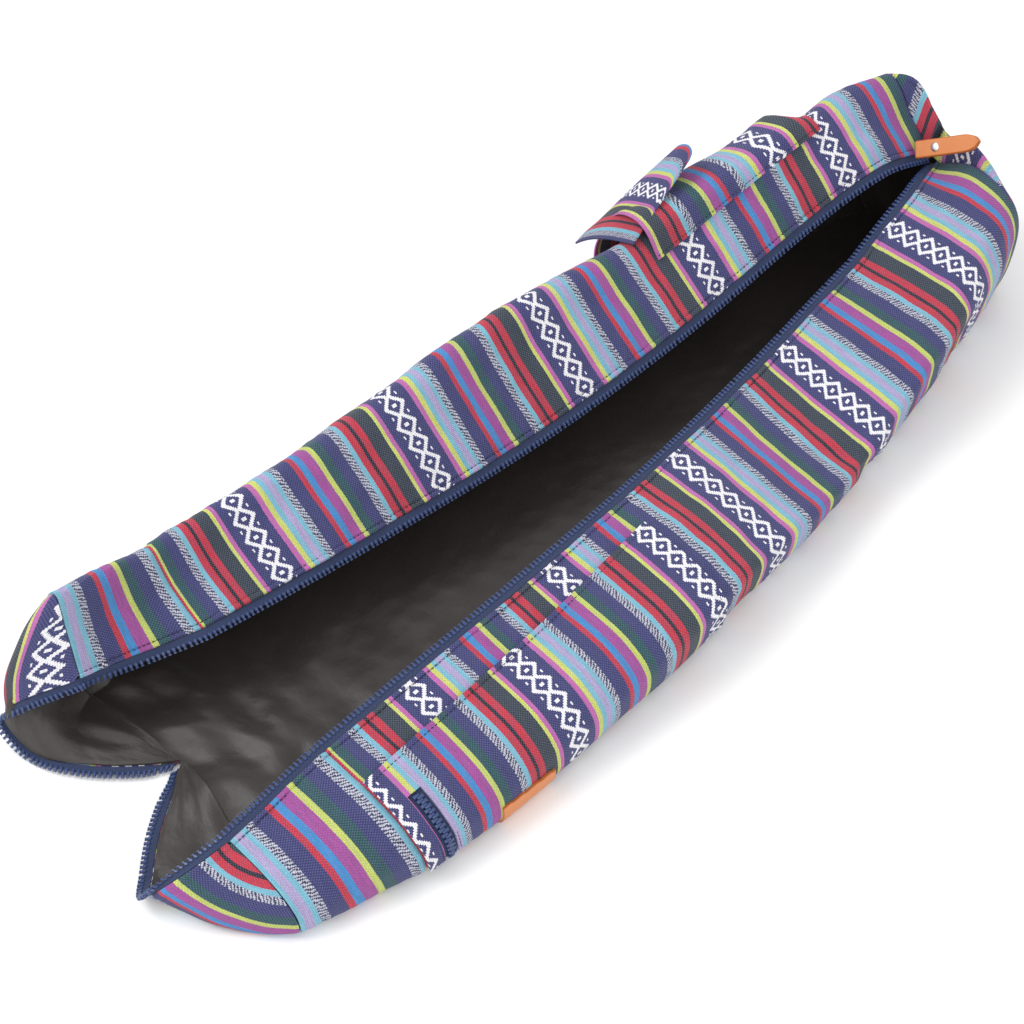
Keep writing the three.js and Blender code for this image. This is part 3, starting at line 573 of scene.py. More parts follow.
def striped_cotton():
    """Plain-woven cotton of dyed yarns: matt, with a visible coarse weave, slubs along the
    stripes, marled yarn in the melange stripes and white diamonds on navy."""
    size = sizes()
    material, tree, shader = new_material("woven_striped_cotton")
    calc = partial(maths, tree)
    uv, u, v = cloth_coordinates(tree)
    # Yarn edges: each crossing thread pulls a stripe's edge by a fraction of a thread
    fray = node(tree, "ShaderNodeTexNoise", {"Vector": uv, "Scale": 0.9, "Detail": 2.0})
    pulled = calc("MULTIPLY_ADD", fray.outputs[0], 0.9, u)
    turn = calc("DIVIDE", calc("SUBTRACT", pulled, size["stripe_start"] + 0.45), size["stripe_repeat"])
    share = calc("FRACT", turn)
    ramp = node(tree, "ShaderNodeValToRGB", {0: share})
    ramp.color_ramp.interpolation = "CONSTANT"
    codes = {"diamond ground": 1.0, "melange": 0.5}
    start = 0.0
    for k, (name, width, colour) in enumerate(STRIPES):
        stop = ramp.color_ramp.elements[0] if k == 0 else ramp.color_ramp.elements.new(start)
        stop.position = start
        stop.color = (*linear(colour)[:3], codes.get(name, 0.0))
        start += width
    while len(ramp.color_ramp.elements) > len(STRIPES):
        ramp.color_ramp.elements.remove(ramp.color_ramp.elements[-1])
    code = ramp.outputs[1]
    # Marled yarn: short white and navy dashes that lean from thread to thread
    yarn = calc("FLOOR", calc("DIVIDE", u, 0.95))
    marl_noise = node(tree, "ShaderNodeTexNoise", {"Vector": uv, "Scale": 0.35, "Detail": 2.0})
    lean = calc("MULTIPLY_ADD", yarn, 0.31, calc("DIVIDE", v, 2.3))
    marl = calc("FRACT", calc("MULTIPLY_ADD", marl_noise.outputs[0], 1.6, lean))
    dashes = calc("LESS_THAN", marl, 0.52)
    melange = calc("COMPARE", code, 0.5, 0.2)
    marled = blended(tree, dashes, linear("2E3050"), linear("C6C8D6"))
    colour = blended(tree, melange, ramp.outputs[0], marled)
    # Diamonds: stepped cells, an outline where the two distances add up to six
    across = calc("SUBTRACT", calc("MULTIPLY", share, size["stripe_repeat"]), 0.105 * size["stripe_repeat"])
    cell_u = calc("ABSOLUTE", calc("ROUND", calc("DIVIDE", across, DIAMOND_CELL)))
    column = calc("FLOOR", calc("DIVIDE", v, DIAMOND_CELL))
    cell_v = calc("ABSOLUTE", calc("SUBTRACT", calc("FLOORED_MODULO", column, 12.0), 5.5))
    reach = calc("ADD", cell_u, cell_v)
    outline = calc("COMPARE", reach, 6.5, 1.1)
    centre = calc("MULTIPLY", calc("LESS_THAN", cell_v, 1.0), calc("LESS_THAN", cell_u, 1.5))
    dots = calc("MULTIPLY", calc("GREATER_THAN", cell_v, 5.2), calc("COMPARE", cell_u, 6.0, 0.6))
    white = calc("MAXIMUM", outline, calc("MAXIMUM", centre, dots))
    white = calc("MULTIPLY", white, calc("GREATER_THAN", code, 0.8))
    colour = blended(tree, white, colour, linear("EDECF1"))
    # Plain weave: threads pass over and under in a chequer; each thread is a dome whose edges are painted
    # darker as shade
    over_u = calc("DIVIDE", u, THREAD)
    over_v = calc("DIVIDE", v, THREAD)
    cells = calc("ADD", calc("FLOOR", over_u), calc("FLOOR", over_v))
    parity = calc("FLOORED_MODULO", cells, 2.0)
    dome_u = calc("ABSOLUTE", calc("SINE", calc("MULTIPLY", over_u, math.pi)))
    dome_v = calc("ABSOLUTE", calc("SINE", calc("MULTIPLY", over_v, math.pi)))
    weave = node(tree, "ShaderNodeMix", {0: parity, 2: calc("MULTIPLY", dome_v, 0.7), 3: dome_u}).outputs[0]
    # The pale weft shows in every other cell, over all but the white figures
    weft = calc("MULTIPLY", parity, calc("MULTIPLY_ADD", white, -0.34, 0.34))
    colour = blended(tree, weft, colour, linear("77778F"))
    # Painted shade: the colour darkens towards each thread's edge, where the domes dip between threads
    shade = calc("MULTIPLY_ADD", weave, 0.42, 0.72)
    # Slubs: light and dark lengths of yarn along the stripes
    stretch = node(tree, "ShaderNodeVectorMath", {0: uv, 1: (1.1, 0.07, 1.0)}, operation="MULTIPLY")
    slub = node(tree, "ShaderNodeTexNoise", {"Vector": stretch.outputs[0], "Scale": 1.0, "Detail": 3.0})
    fleck = node(tree, "ShaderNodeTexNoise", {"Vector": uv, "Scale": 0.8, "Detail": 2.0})
    shade = calc("MULTIPLY", shade, calc("MULTIPLY_ADD", slub.outputs[0], 0.55, 0.75))
    shade = calc("MULTIPLY", shade, calc("MULTIPLY_ADD", fleck.outputs[0], 0.50, 0.77))
    grey = node(tree, "ShaderNodeCombineColor", {0: shade, 1: shade, 2: shade}).outputs[0]
    # The colour is multiplied by the painted thread shade and by the real slub and fleck tone of the yarn
    colour = blended(tree, 1.0, colour, grey, "MULTIPLY")
    plug(tree, shader, {
        "Base Color": colour,
        "Roughness": 0.88,
        "Specular IOR Level": 0.25,
        "Sheen Weight": 0.12,
        "Sheen Roughness": 0.5,
        "Normal": bump(tree, weave, 0.35, 0.8),
    })
    return material


def black_lining():
    """Thin calendered polyester taffeta in warm black: a fine weave, a soft broad gloss."""
    material, tree, shader = new_material("polyester_taffeta_lining")
    uv, u, v = cloth_coordinates(tree)
    cloud = node(tree, "ShaderNodeTexNoise", {"Vector": uv, "Scale": 0.02, "Detail": 3.0})
    colour = blended(tree, cloud.outputs[0], linear("221D1B"), linear(bpy.context.scene.bag_colours.lining))
    fine = maths(tree, "MULTIPLY", maths(tree, "SINE", maths(tree, "MULTIPLY", u, 6.0)),
                 maths(tree, "SINE", maths(tree, "MULTIPLY", v, 6.0)))
    crumple = node(tree, "ShaderNodeTexNoise", {"Vector": uv, "Scale": 0.06, "Detail": 4.0})
    height = maths(tree, "MULTIPLY_ADD", fine, 0.02, crumple.outputs[0])
    plug(tree, shader, {
        "Base Color": colour,
        "Roughness": 0.46,
        "Specular IOR Level": 0.6,
        "Sheen Weight": 0.15,
        "Normal": bump(tree, height, 2.0, 0.5),
    })
    return material


def zip_tape():
    """Woven polyester zip tape: ribs that lean both ways from the middle, painted darker in their valleys as
    shade, half matt.
    """
    material, tree, shader = new_material("woven_zip_tape")
    _, u, v = cloth_coordinates(tree)
    lean = maths(tree, "MULTIPLY_ADD", maths(tree, "PINGPONG", v, 3.3), 0.8, u)
    rib = maths(tree, "SINE", maths(tree, "MULTIPLY", lean, 2 * math.pi / 1.1))
    shade = maths(tree, "MULTIPLY_ADD", rib, 0.5, 0.5)
    base = bpy.context.scene.bag_colours.tape
    # Painted shade: the rib wave blends the colour towards a darker navy in the valleys between the ribs
    colour = blended(tree, shade, linear("1A2644"), linear(base))
    plug(tree, shader, {
        "Base Color": colour,
        "Roughness": 0.72,
        "Sheen Weight": 0.1,
        "Normal": bump(tree, shade, 0.25, 0.8),
    })
    return material


def moulded_teeth():
    """Injection-moulded acetal teeth in steel blue: smooth and glossy, a faint mould grain."""
    material, tree, shader = new_material("moulded_acetal_teeth")
    place = node(tree, "ShaderNodeTexCoord").outputs["Object"]
    grain = node(tree, "ShaderNodeTexNoise", {"Vector": place, "Scale": 900.0, "Detail": 2.0})
    light = linear(bpy.context.scene.bag_colours.teeth)
    colour = blended(tree, grain.outputs[0], linear("2F3F68"), light)
    plug(tree, shader, {
        "Base Color": colour,
        "Roughness": 0.28,
        "IOR": 1.48,
        "Normal": bump(tree, grain.outputs[0], 0.08, 0.5),
    })
    return material


def tanned_leather():
    """Vegetable-tanned leather: pebbled grain, even tan faces, darker burnished cut edges."""
    material, tree, shader = new_material("vegetable_tanned_leather")
    _, _, v = cloth_coordinates(tree)
    place = node(tree, "ShaderNodeTexCoord").outputs["Object"]
    pores = node(tree, "ShaderNodeTexVoronoi", {"Vector": place, "Scale": 1400.0})
    cloud = node(tree, "ShaderNodeTexNoise", {"Vector": place, "Scale": 120.0, "Detail": 4.0})
    colours = bpy.context.scene.bag_colours
    face = blended(tree, cloud.outputs[0], linear("CB7D49"), linear(colours.leather))
    rim = maths(tree, "GREATER_THAN", maths(tree, "ABSOLUTE", v), 0.90)
    colour = blended(tree, rim, face, linear(colours.edge))
    plug(tree, shader, {
        "Base Color": colour,
        "Roughness": 0.48,
        "Specular IOR Level": 0.4,
        "Normal": bump(tree, pores.outputs["Distance"], 0.12, 0.5),
    })
    return material


def plated_rivet():
    """Nickel-plated steel cap, stamped and tumbled: bright, with a satin haze."""
    material, tree, shader = new_material("plated_steel_rivet")
    place = node(tree, "ShaderNodeTexCoord").outputs["Object"]
    haze = node(tree, "ShaderNodeTexNoise", {"Vector": place, "Scale": 700.0, "Detail": 3.0})
    rough = maths(tree, "MULTIPLY_ADD", haze.outputs[0], 0.2, 0.22)
    plug(tree, shader, {
        "Base Color": linear("F4F4F2"),
        "Metallic": 1.0,
        "Roughness": rough,
    })
    return material


def sewing_thread():
    """Spun polyester sewing thread: matt, twisted, so dark that only its twist shows."""
    material, tree, shader = new_material("spun_sewing_thread")
    place = node(tree, "ShaderNodeTexCoord").outputs["Object"]
    twist = node(tree, "ShaderNodeTexNoise", {"Vector": place, "Scale": 2500.0, "Detail": 1.0})
    dark = linear(bpy.context.scene.bag_colours.thread)
    plug(tree, shader, {
        "Base Color": blended(tree, twist.outputs[0], linear("11141F"), dark),
        "Roughness": 0.8,
    })
    return material


FINISHES = {}


def finish_of(name):
    """The material of that maker's name, made once."""
    makers = {
        "cotton": striped_cotton, "lining": black_lining, "tape": zip_tape, "teeth": moulded_teeth,
        "leather": tanned_leather, "rivet": plated_rivet, "thread": sewing_thread,
    }
    if name not in FINISHES:
        FINISHES[name] = makers[name]()
    return FINISHES[name]


# Folds and relief of the cloth

def floor_free(z):
    """0 where the wall rests on the floor, 1 from 6 mm above it."""
    return smooth((z - 0.5) / 5.5)


def hem_relief(arc):
    """The folded edge along a lip: 0.7 mm proud for 3 mm, rounded at its end, with the
    stitched groove beside it. arc is the distance from the lip."""
    fold = 0.7 * (1 - smooth((arc - 2.9) / 0.8))
    groove = -0.5 * np.exp(-((arc - 3.6) / 0.5) ** 2)
    rounding = -1.0 * (1 - smooth(arc / 0.9))
    return fold + groove + rounding


def wall_relief(x, arc, girth_length):
    """Outward folds of the wall in millimetres, from the distance along the bag and round it.

    Broad slack waves, small creases that lean across the stripes, puckers that die out
    within 20 mm of a lip, the groove and ridges of the band seam, and the long crease where
    the right wall kinks above the floor."""
    lip = np.minimum(arc, girth_length - arc)
    slack = 0.9 * ripple(x, arc, 95, 2.0) + 0.5 * ripple(x, arc, 34, 5.0)
    crease = 0.28 * ripple(x * 1.6, arc * 0.7, 15, 8.0)
    pucker = 0.35 * np.sin(x * 2 * math.pi / 11 + 1.5 * ripple(x, arc, 60, 3.0))
    pucker = pucker * np.exp(-((lip - 6) / 7) ** 2)
    seam = sizes()["band_length"]
    groove = -1.3 * np.exp(-((x - seam) / 1.3) ** 2) + 0.5 * np.exp(-((np.abs(x - seam) - 4.5) / 2.2) ** 2)
    dimples = 0.3 * np.sin(arc * 2 * math.pi / 8.5) * np.exp(-((np.abs(x - seam) - 5) / 4) ** 2)
    kink_x = 474 + (girth_length - arc - 78) * 0.55
    kink = -3.0 * np.exp(-((x - kink_x) / 9) ** 2) * smooth((girth_length - arc - 42) / 30)
    kink *= 1 - smooth((girth_length - arc - 150) / 20)
    ends = smooth((sizes()["body_length"] - x) / 12)
    return (slack + crease) * ends + pucker + groove + dimples + kink


def wall_grid(x):
    """Shares and girths of a wall sheet: rows at x, and columns close together at the lips."""
    near = np.array([0.0, 0.35, 0.8, 1.4, 2.1, 2.8, 3.3, 3.7, 4.2, 5.0, 6.5, 8.5])
    middle = np.linspace(11.0, 482.0, 168)
    stops = np.concatenate([near, middle, WALL_GIRTH - near[::-1]]) / WALL_GIRTH
    return np.meshgrid(x / sizes()["body_length"], stops, indexing="ij")


def wall_piece(name, x, stripe, node_name):
    """A stretch of the outer wall as a thick sheet with its folds. stripe gives the stripe
    coordinate from the share of the length."""
    size = sizes()
    share, girth = wall_grid(x)
    length = girths(share)
    arc = girth * length
    base = wall(share, girth)
    normal = wall_normals(share, girth)
    free = floor_free(base[..., 2])
    lip = np.minimum(arc, length - arc)
    relief = wall_relief(share * size["body_length"], arc, length) * free + hem_relief(lip)
    outer = base + normal * relief[..., None]
    outer[..., 2] = np.maximum(outer[..., 2], 0)
    inner_out = np.minimum(relief, 0.8) * smooth(lip / 4) - size["cloth"] + 0.5 * (1 - smooth(lip / 1.2))
    inner = base + normal * inner_out[..., None]
    uv = np.stack([stripe(share), girth * WALL_GIRTH], -1)
    return sheet_piece(name, outer, inner, uv, finish_of("cotton"), (node_name,))


def stripe_at(share_of_repeat):
    """The stripe coordinate, in millimetres, of a share of the repeat."""
    size = sizes()
    return size["stripe_start"] + share_of_repeat * size["stripe_repeat"]


class BAG_OT_walls(bpy.types.Operator):
    """The main wall and the near band: lofted shells that sag to the floor"""

    bl_idname = "bag.walls"
    bl_label = "Walls"

    def execute(self, context):
        size = sizes()
        edge = size["gap"] / 2
        band = size["band_length"]
        piping = band + 1.3
        x = np.concatenate([[band + edge, piping], np.linspace(piping + 0.05, size["body_length"], 230)])
        wall_piece("body_wall", x, lambda share: self.body_stripe(share * size["body_length"], piping),
                   "body_shell")
        wall_piece("near_band_wall", np.linspace(size["gap"], band - edge, 44),
                   lambda share: stripe_at(mix(0.272, 0.783, share * size["body_length"] / band)),
                   "near_band")
        return {"FINISHED"}

    def body_stripe(self, x, piping):
        """Where each point lies on the cloth: red up to the seam's piping, then the length
        with 1 to 4 mm of slack."""
        slack = 1.2 + 2.4 * smooth((x - 182) / 119)
        return np.where(x < piping + 0.01, stripe_at(0.47), x + slack)


def cup_grid(rows, columns):
    """Depths and shares of one half of the near end, close together at the zip edge."""
    depth = np.concatenate([np.linspace(0.008, 0.90, rows - 6), [0.925, 0.95, 0.965, 0.98, 0.99, 1.0]])
    return np.meshgrid(depth, np.linspace(0.012, 0.988, columns), indexing="ij")


class BAG_OT_near_end(bpy.types.Operator):
    """The two halves of the near end, with stripes square to their zip edge"""

    bl_idname = "bag.near_end"
    bl_label = "Near end"

    def execute(self, context):
        size = sizes()
        notch = notch_girth()
        radius = size["disc_diameter"] / 2
        for side, name, start in ((1, "left", 1.20), (-1, "right", 0.895)):
            depth, t = cup_grid(40, 110)
            along = mix(radius * (1 - np.cos(math.pi * t)), 2 * radius * t, depth)
            across = radius * np.sin(math.pi * t) * (1 - depth)
            hem = 0.6 * (1 - smooth((across - 2.8) / 0.8)) - 0.8 * (1 - smooth((1 - depth) / 0.02))
            fold = 0.8 * ripple(along, across, 42, 4.0 + side)
            fold = fold * smooth((1 - depth) / 0.2) * smooth(depth / 0.15)
            groove = -0.5 * np.exp(-(depth / 0.02) ** 2)
            base = off_cup(side, depth, t, np.zeros_like(depth), notch)
            free = floor_free(base[..., 2])
            outer = off_cup(side, depth, t, (hem + fold + groove) * free, notch)
            outer[..., 2] = np.maximum(outer[..., 2], 0)
            inner = off_cup(side, depth, t, np.full_like(depth, -size["cloth"]), notch)
            uv = np.stack([stripe_at(start) - along, across + 6.0], -1)
            sheet_piece(f"near_disc_{name}_cloth", outer, inner, uv, finish_of("cotton"),
                        (f"near_disc_{name}",))
        return {"FINISHED"}


class BAG_OT_far_end(bpy.types.Operator):
    """The closed far end, with its seam"""

    bl_idname = "bag.far_end"
    bl_label = "Far end"

    def execute(self, context):
        size = sizes()
        depth = np.concatenate([np.linspace(0, 0.06, 6), np.linspace(0.09, 0.985, 34)])
        depth, girth = np.meshgrid(depth, np.linspace(0, 1, 181), indexing="ij")
        for name, out, thick, slot, finish, replaced in (
                ("far_disc_cloth", 0.0, size["cloth"], "striped_cotton", "cotton", "far_disc"),
                ("end_lining_cloth", -size["cloth"] - size["gap"], size["lining"], "black_lining",
                 "lining", "end_lining")):
            base = end(depth, girth)
            flat = floor_free(base[..., 2])
            groove = -1.0 * np.exp(-(depth / 0.02) ** 2)
            fold = 0.7 * ripple(base[..., 1], base[..., 2], 45, 6.0)
            fold = fold * smooth(depth / 0.2) * smooth((1 - depth) / 0.3)
            relief = (fold + groove) * flat if out == 0 else 0 * flat
            sunk = 1.0 * smooth(depth / 0.06) if out else 0.0
            outer = off_end(depth, girth, out + relief - sunk)
            inner = off_end(depth, girth, out - thick - sunk + 0 * depth)
            for sheet in (outer, inner):
                sheet[..., 0] += 1.0
                sheet[:, -1] = sheet[:, 0]
                sheet[-1] = sheet[-1].mean(axis=0)
                sheet[..., 2] = np.maximum(sheet[..., 2], 0)
            uv = np.stack([stripe_at(0) + 140.0 - base[..., 1], base[..., 2]], -1)
            sheet_piece(name, outer, inner, uv, finish_of(finish), (replaced,), weld=0.01)
        return {"FINISHED"}


def lining_relief(x, arc, length):
    """Inward folds of the lining in millimetres: broad slack waves all along, deeper soft
    creases that run out from the notch of the near end, and the lining's long seam."""
    slack = 1.2 + 1.2 * ripple(x * 0.5, arc, 60, 11.0)
    near = np.exp(-np.maximum(x - 40, 0) / 110)
    creases = near * (3.0 + 3.6 * ripple(x * 0.9 + arc * 0.5, (arc - x * 0.4) * 0.6, 38, 7.0))
    seam_arc = length * 0.30
    seam = 0.9 * np.exp(-((arc - seam_arc) / 1.2) ** 2) - 0.8 * np.exp(-((arc - seam_arc - 2.2) / 0.9) ** 2)
    fine = 0.35 * ripple(x, arc * 1.4, 22, 9.0)
    return np.maximum(slack + creases + seam + fine, 0)


class BAG_OT_lining(bpy.types.Operator):
    """The black lining, from the zip edges of the near end to the far seam"""

    bl_idname = "bag.lining"
    bl_label = "Lining"

    def execute(self, context):
        size = sizes()
        notch = notch_girth()
        left = 88
        columns = 160
        stops = np.concatenate([np.linspace(0, notch, left, endpoint=False),
                                np.linspace(notch, 1, columns - left)])
        share = np.concatenate([np.linspace(0, size["band_length"], 40, endpoint=False),
                                np.linspace(size["band_length"], size["body_length"], 190)])
        share, girth = np.meshgrid(share / size["body_length"], stops, indexing="ij")
        length = girths(share)
        arc = girth * length
        lip = np.minimum(arc, length - arc)
        x = share * size["body_length"]
        top = -size["cloth"] - size["gap"]
        away = smooth(lip / 25) * smooth((size["body_length"] - x) / 30)
        folds = lining_relief(x, arc, length) * away
        dents = np.minimum(wall_relief(x, arc, length), 0) * floor_free(wall(share, girth)[..., 2])
        folds = folds - 1.25 * dents * smooth(lip / 6)
        top_wall = top - 0.5 * smooth(lip / 5)
        walls = [off_wall(share, girth, top_wall - size["lining"] - folds),
                 off_wall(share, girth, top_wall - 0.8 * folds)]
        cups = []
        depth = np.linspace(1, 0, 34, endpoint=False)[:, None]
        for layer, thick in ((0, size["lining"]), (1, 0.0)):
            halves = []
            for side, part in ((1, stops[:left + 1]), (-1, stops[left + 1:])):
                t = part / notch if side > 0 else (1 - part) / (1 - notch)
                d, tt = np.broadcast_arrays(depth, t[None])
                soft = smooth((1 - d) / 0.25) * smooth(np.minimum(tt, 1 - tt) / 0.15)
                fold = (1.2 + 1.2 * ripple(d * CUP_DEPTH, tt * 170, 40, 3.0 + side)) * soft
                seam_fold = folds[0][None, :left + 1] if side > 0 else folds[0][None, left + 1:]
                fold = fold + seam_fold * (1 - d)
                sunk = 0.9 * smooth((1 - d) / 0.04) + fold * (1.0 if layer == 0 else 0.8)
                halves.append(off_cup(side, d, tt, top - thick - sunk, notch))
            cups.append(np.concatenate(halves, 1))
        inner = np.concatenate([cups[0], walls[0]])
        outer = np.concatenate([cups[1], walls[1]])
        for layer, floor in ((inner, 2.4), (outer, 1.5)):
            layer[..., 2] = np.maximum(layer[..., 2], floor)
        uv = np.stack([np.concatenate([-depth * CUP_DEPTH + 0 * girth[:1], x]),
                       np.concatenate([0 * depth + arc[:1], arc])], -1)
        sheet_piece("lining_cloth", outer, inner, uv, finish_of("lining"), ("lining",))
        return {"FINISHED"}


# The main zip

ZIP_STEP = 0.8  # between the points of a zip's run, in mm


def zip_run(side):
    """The run of one zip edge, from the far end along the lip and round the near end:
    points, the way the tape lies and the way across it, at close even steps."""
    size = sizes()
    notch = notch_girth()
    lip = 0.0 if side > 0 else 1.0
    share = np.linspace(1, 0, 700)
    girth = np.full_like(share, lip)
    inset = np.full_like(share, -size["cloth"] / 2 - size["gap"])
    on_lip = off_wall(share, girth, inset)
    away_lip = unit(wall(share, girth) - wall(share, np.full_like(share, 0.02 if side > 0 else 0.98)))
    t = np.linspace(0, 0.985, 300)
    rows = EDGE_LEFT if side > 0 else EDGE_RIGHT
    away_cup = unit(np.moveaxis(cubic(rows[:, 3:].T, t * (len(rows) - 1)), 0, -1))
    on_cup = off_cup(side, np.ones_like(t), t, np.full_like(t, inset[0]), notch)
    point = np.concatenate([on_lip, on_cup[1:]])
    away = np.concatenate([away_lip, away_cup[1:]])
    reach = np.concatenate([np.ones(len(share)), np.clip((1 - t[1:]) / 0.16, 0.3, 1)])
    travelled = np.concatenate([[0], np.cumsum(np.linalg.norm(np.diff(point, axis=0), axis=1))])
    even = np.arange(0, travelled[-1], ZIP_STEP)
    columns = np.concatenate([point, away, reach[:, None]], 1)
    columns = np.stack([np.interp(even, travelled, column) for column in columns.T], 1)
    window = np.hanning(15) / np.hanning(15).sum()
    soft = np.stack([np.convolve(np.pad(column, 7, mode="edge"), window, "valid") for column in columns.T], 1)
    point, away, reach = soft[:, :3], unit(soft[:, 3:6]), soft[:, 6]
    along = unit(np.gradient(point, axis=0))
    across = unit(np.cross(along, away))
    return even, point, away, along, across, reach


# A moulded tooth, in mm: distance out from the cloth edge, half length, half thickness
TOOTH_RINGS = (
    (-0.3, 0.70, 0.95), (0.1, 1.05, 1.35), (1.9, 1.05, 1.35), (2.3, 0.70, 1.05),
    (2.8, 0.70, 0.95), (3.1, 1.05, 1.00), (3.7, 0.95, 0.85),
)


def chamfered_rings(rings, chamfer):
    """Points and faces of a loft through rectangles with cut corners, each a ring's distance
    out, half length and half thickness."""
    made = []
    for out, half, thick in rings:
        a, b = half * (1 - chamfer), thick * (1 - chamfer)
        corners = [(half, b), (a, thick), (-a, thick), (-half, b),
                   (-half, -b), (-a, -thick), (a, -thick), (half, -b)]
        made.append([(x, out, z) for x, z in corners])
    return swept(np.array(made, float))


def of_one_size(faces):
    """Faces grouped by their number of corners."""
    counts = sorted({len(face) for face in faces})
    return [[face for face in faces if len(face) == count] for count in counts]


class BAG_OT_main_zip(bpy.types.Operator):
    """The main zip: two woven tapes and two rows of moulded teeth"""

    bl_idname = "bag.main_zip"
    bl_label = "Main zip"

    def execute(self, context):
        size = sizes()
        edge = size["tape_width"] + 1.6
        for side, name in ((1, "left"), (-1, "right")):
            even, point, away, along, across, reach = zip_run(side)
            step = slice(None, None, 2)
            place = np.linspace(0.3, edge, 6)
            ring_out = np.concatenate([place, place[::-1]])
            ring_thick = np.concatenate([np.full(6, 0.45), np.full(6, -0.45)])
            out = size["gap"] + (ring_out[None] - size["gap"]) * reach[step, None]
            rings = point[step, None] + away[step, None] * out[..., None]
            rings = rings + across[step, None] * ring_thick[None, :, None]
            rings[..., 2] = np.maximum(rings[..., 2], 0.3)
            points, faces = swept(rings)
            uv = np.stack([np.repeat(even[step, None], 12, 1), np.repeat(ring_out[None], len(rings), 0)], -1)
            add_piece(f"zip_tape_{name}_woven", points, faces, finish_of("tape"),
                      (f"zip_tape_{name}",), uv.reshape(-1, 2))
            spots = np.arange(4.0, even[-1] - 2, size["tooth_pitch"])
            if side < 0:
                spots = spots + size["tooth_pitch"] / 2
            index = np.clip((spots / ZIP_STEP).astype(int), 0, len(even) - 1)
            start = size["gap"] + (size["tape_width"] + 0.5 - size["gap"]) * reach[index]
            origin = point[index] + away[index] * start[:, None]
            origin[:, 2] = np.maximum(origin[:, 2], 1.45)
            axes = np.stack([along[index], away[index], across[index]], 1)
            tooth_points, tooth_faces = chamfered_rings(TOOTH_RINGS, 0.35)
            points, faces = repeated(tooth_points, of_one_size(tooth_faces), origin, axes)
            add_piece(f"zip_teeth_{name}_moulded", points, faces, finish_of("teeth"),
                      (f"zip_teeth_{name}",), sharp=35)
        return {"FINISHED"}


# Stitches

def stitch_shape(length, width, height):
    """A small padded stitch: three rings of six points, closed by flat ends."""
    angle = np.arange(6) * math.pi / 3
    rings = [[(0.0 + at * length, math.cos(a) * width * k / 2, math.sin(a) * height * k / 2) for a in angle]
             for at, k in ((-0.42, 0.6), (0.0, 1.0), (0.42, 0.6))]
    return swept(np.array(rings))


def stitch_row(path, normal, pitch, length=2.3, width=0.55, height=0.5):
    """A row of stitches along a path of points with their surface normals."""
    travelled = np.concatenate([[0], np.cumsum(np.linalg.norm(np.diff(path, axis=0), axis=1))])
    spots = np.arange(pitch / 2, travelled[-1], pitch)
    at = np.stack([np.interp(spots, travelled, column) for column in path.T], 1)
    ahead = np.stack([np.interp(spots + 0.5, travelled, column) for column in path.T], 1)
    behind = np.stack([np.interp(spots - 0.5, travelled, column) for column in path.T], 1)
    up = unit(np.stack([np.interp(spots, travelled, column) for column in normal.T], 1))
    along = unit(ahead - behind)
    side = unit(np.cross(up, along))
    axes = np.stack([along, side, np.cross(along, side)], 1)
    points, faces = stitch_shape(length, width, height)
    return repeated(points, of_one_size(faces), at, axes)


def add_stitches(name, rows):
    """Several rows of stitches as one piece."""
    points, faces, count = [], [], 0
    for row_points, row_faces in rows:
        points.append(row_points)
        faces += [[corner + count for corner in face] for face in row_faces]
        count += len(row_points)
    return add_piece(name, np.concatenate(points), faces, finish_of("thread"))


def wall_row(x, arc, side, lift, pitch=3.1):
    """Stitches over the wall through distances along the bag and round it from a lip."""
    path = over_wall(x, arc, lift, side)
    return stitch_row(path, path - over_wall(x, arc, lift - 3, side), pitch)


class BAG_OT_stitches(bpy.types.Operator):
    """The stitches beside the main zip, round the zip pocket and along the flap pocket"""

    bl_idname = "bag.stitches"
    bl_label = "Stitches"

    def execute(self, context):
        size = sizes()
        x = np.linspace(3, size["body_length"] - 4, 500)
        rows = [wall_row(x, np.full_like(x, 3.6), side, 0.05) for side in (1, -1)]
        add_stitches("lip_topstitch", rows)
        panel = np.linspace(size["band_length"] + 3, size["band_length"] + size["panel_length"] - 3.4, 200)
        lift = PANEL_LIFT + PANEL_THICK + 0.2
        rows = [wall_row(panel, hem_arc(panel) + 3.4, -1, lift)]
        far = np.full(80, panel[-1])
        share = np.linspace(0, 1, 80)
        rows.append(wall_row(far, mix(hem_arc(far) + 3.4, floor_arc(far) - 2, share), -1, lift))
        window = size["band_length"] + WINDOW_WIDTH * WINDOW_START
        for x_side in (window - 1.6, window + WINDOW_WIDTH + 1.6):
            line = np.full(60, x_side)
            top = mix(hem_arc(line), floor_arc(line), 1 / 3)
            rows.append(wall_row(line, mix(top, floor_arc(line) - 2, np.linspace(0, 1, 60)), -1, lift))
        line = np.linspace(window - 1.6, window + WINDOW_WIDTH + 1.6, 20)
        rows.append(wall_row(line, mix(hem_arc(line), floor_arc(line), 1 / 3) - 1.8, -1, lift))
        add_stitches("zip_pocket_stitches", rows)
        mouth = size["body_length"] * POCKET_START
        pocket = np.linspace(mouth, mouth + size["pocket_length"], 160)
        seam = np.full_like(pocket, size["disc_diameter"] * POCKET_ARC)
        rows = [wall_row(pocket, seam + 2.4, 1, 2.3)]
        add_stitches("flap_pocket_stitches", rows)
        return {"FINISHED"}


# Pockets

def pocket_base(a, b):
    """Where the flap pocket lies: distance along the bag and round the wall."""
    size = sizes()
    return (size["body_length"] * POCKET_START + a * size["pocket_length"],
            size["disc_diameter"] * POCKET_ARC + b * size["pocket_girth"])


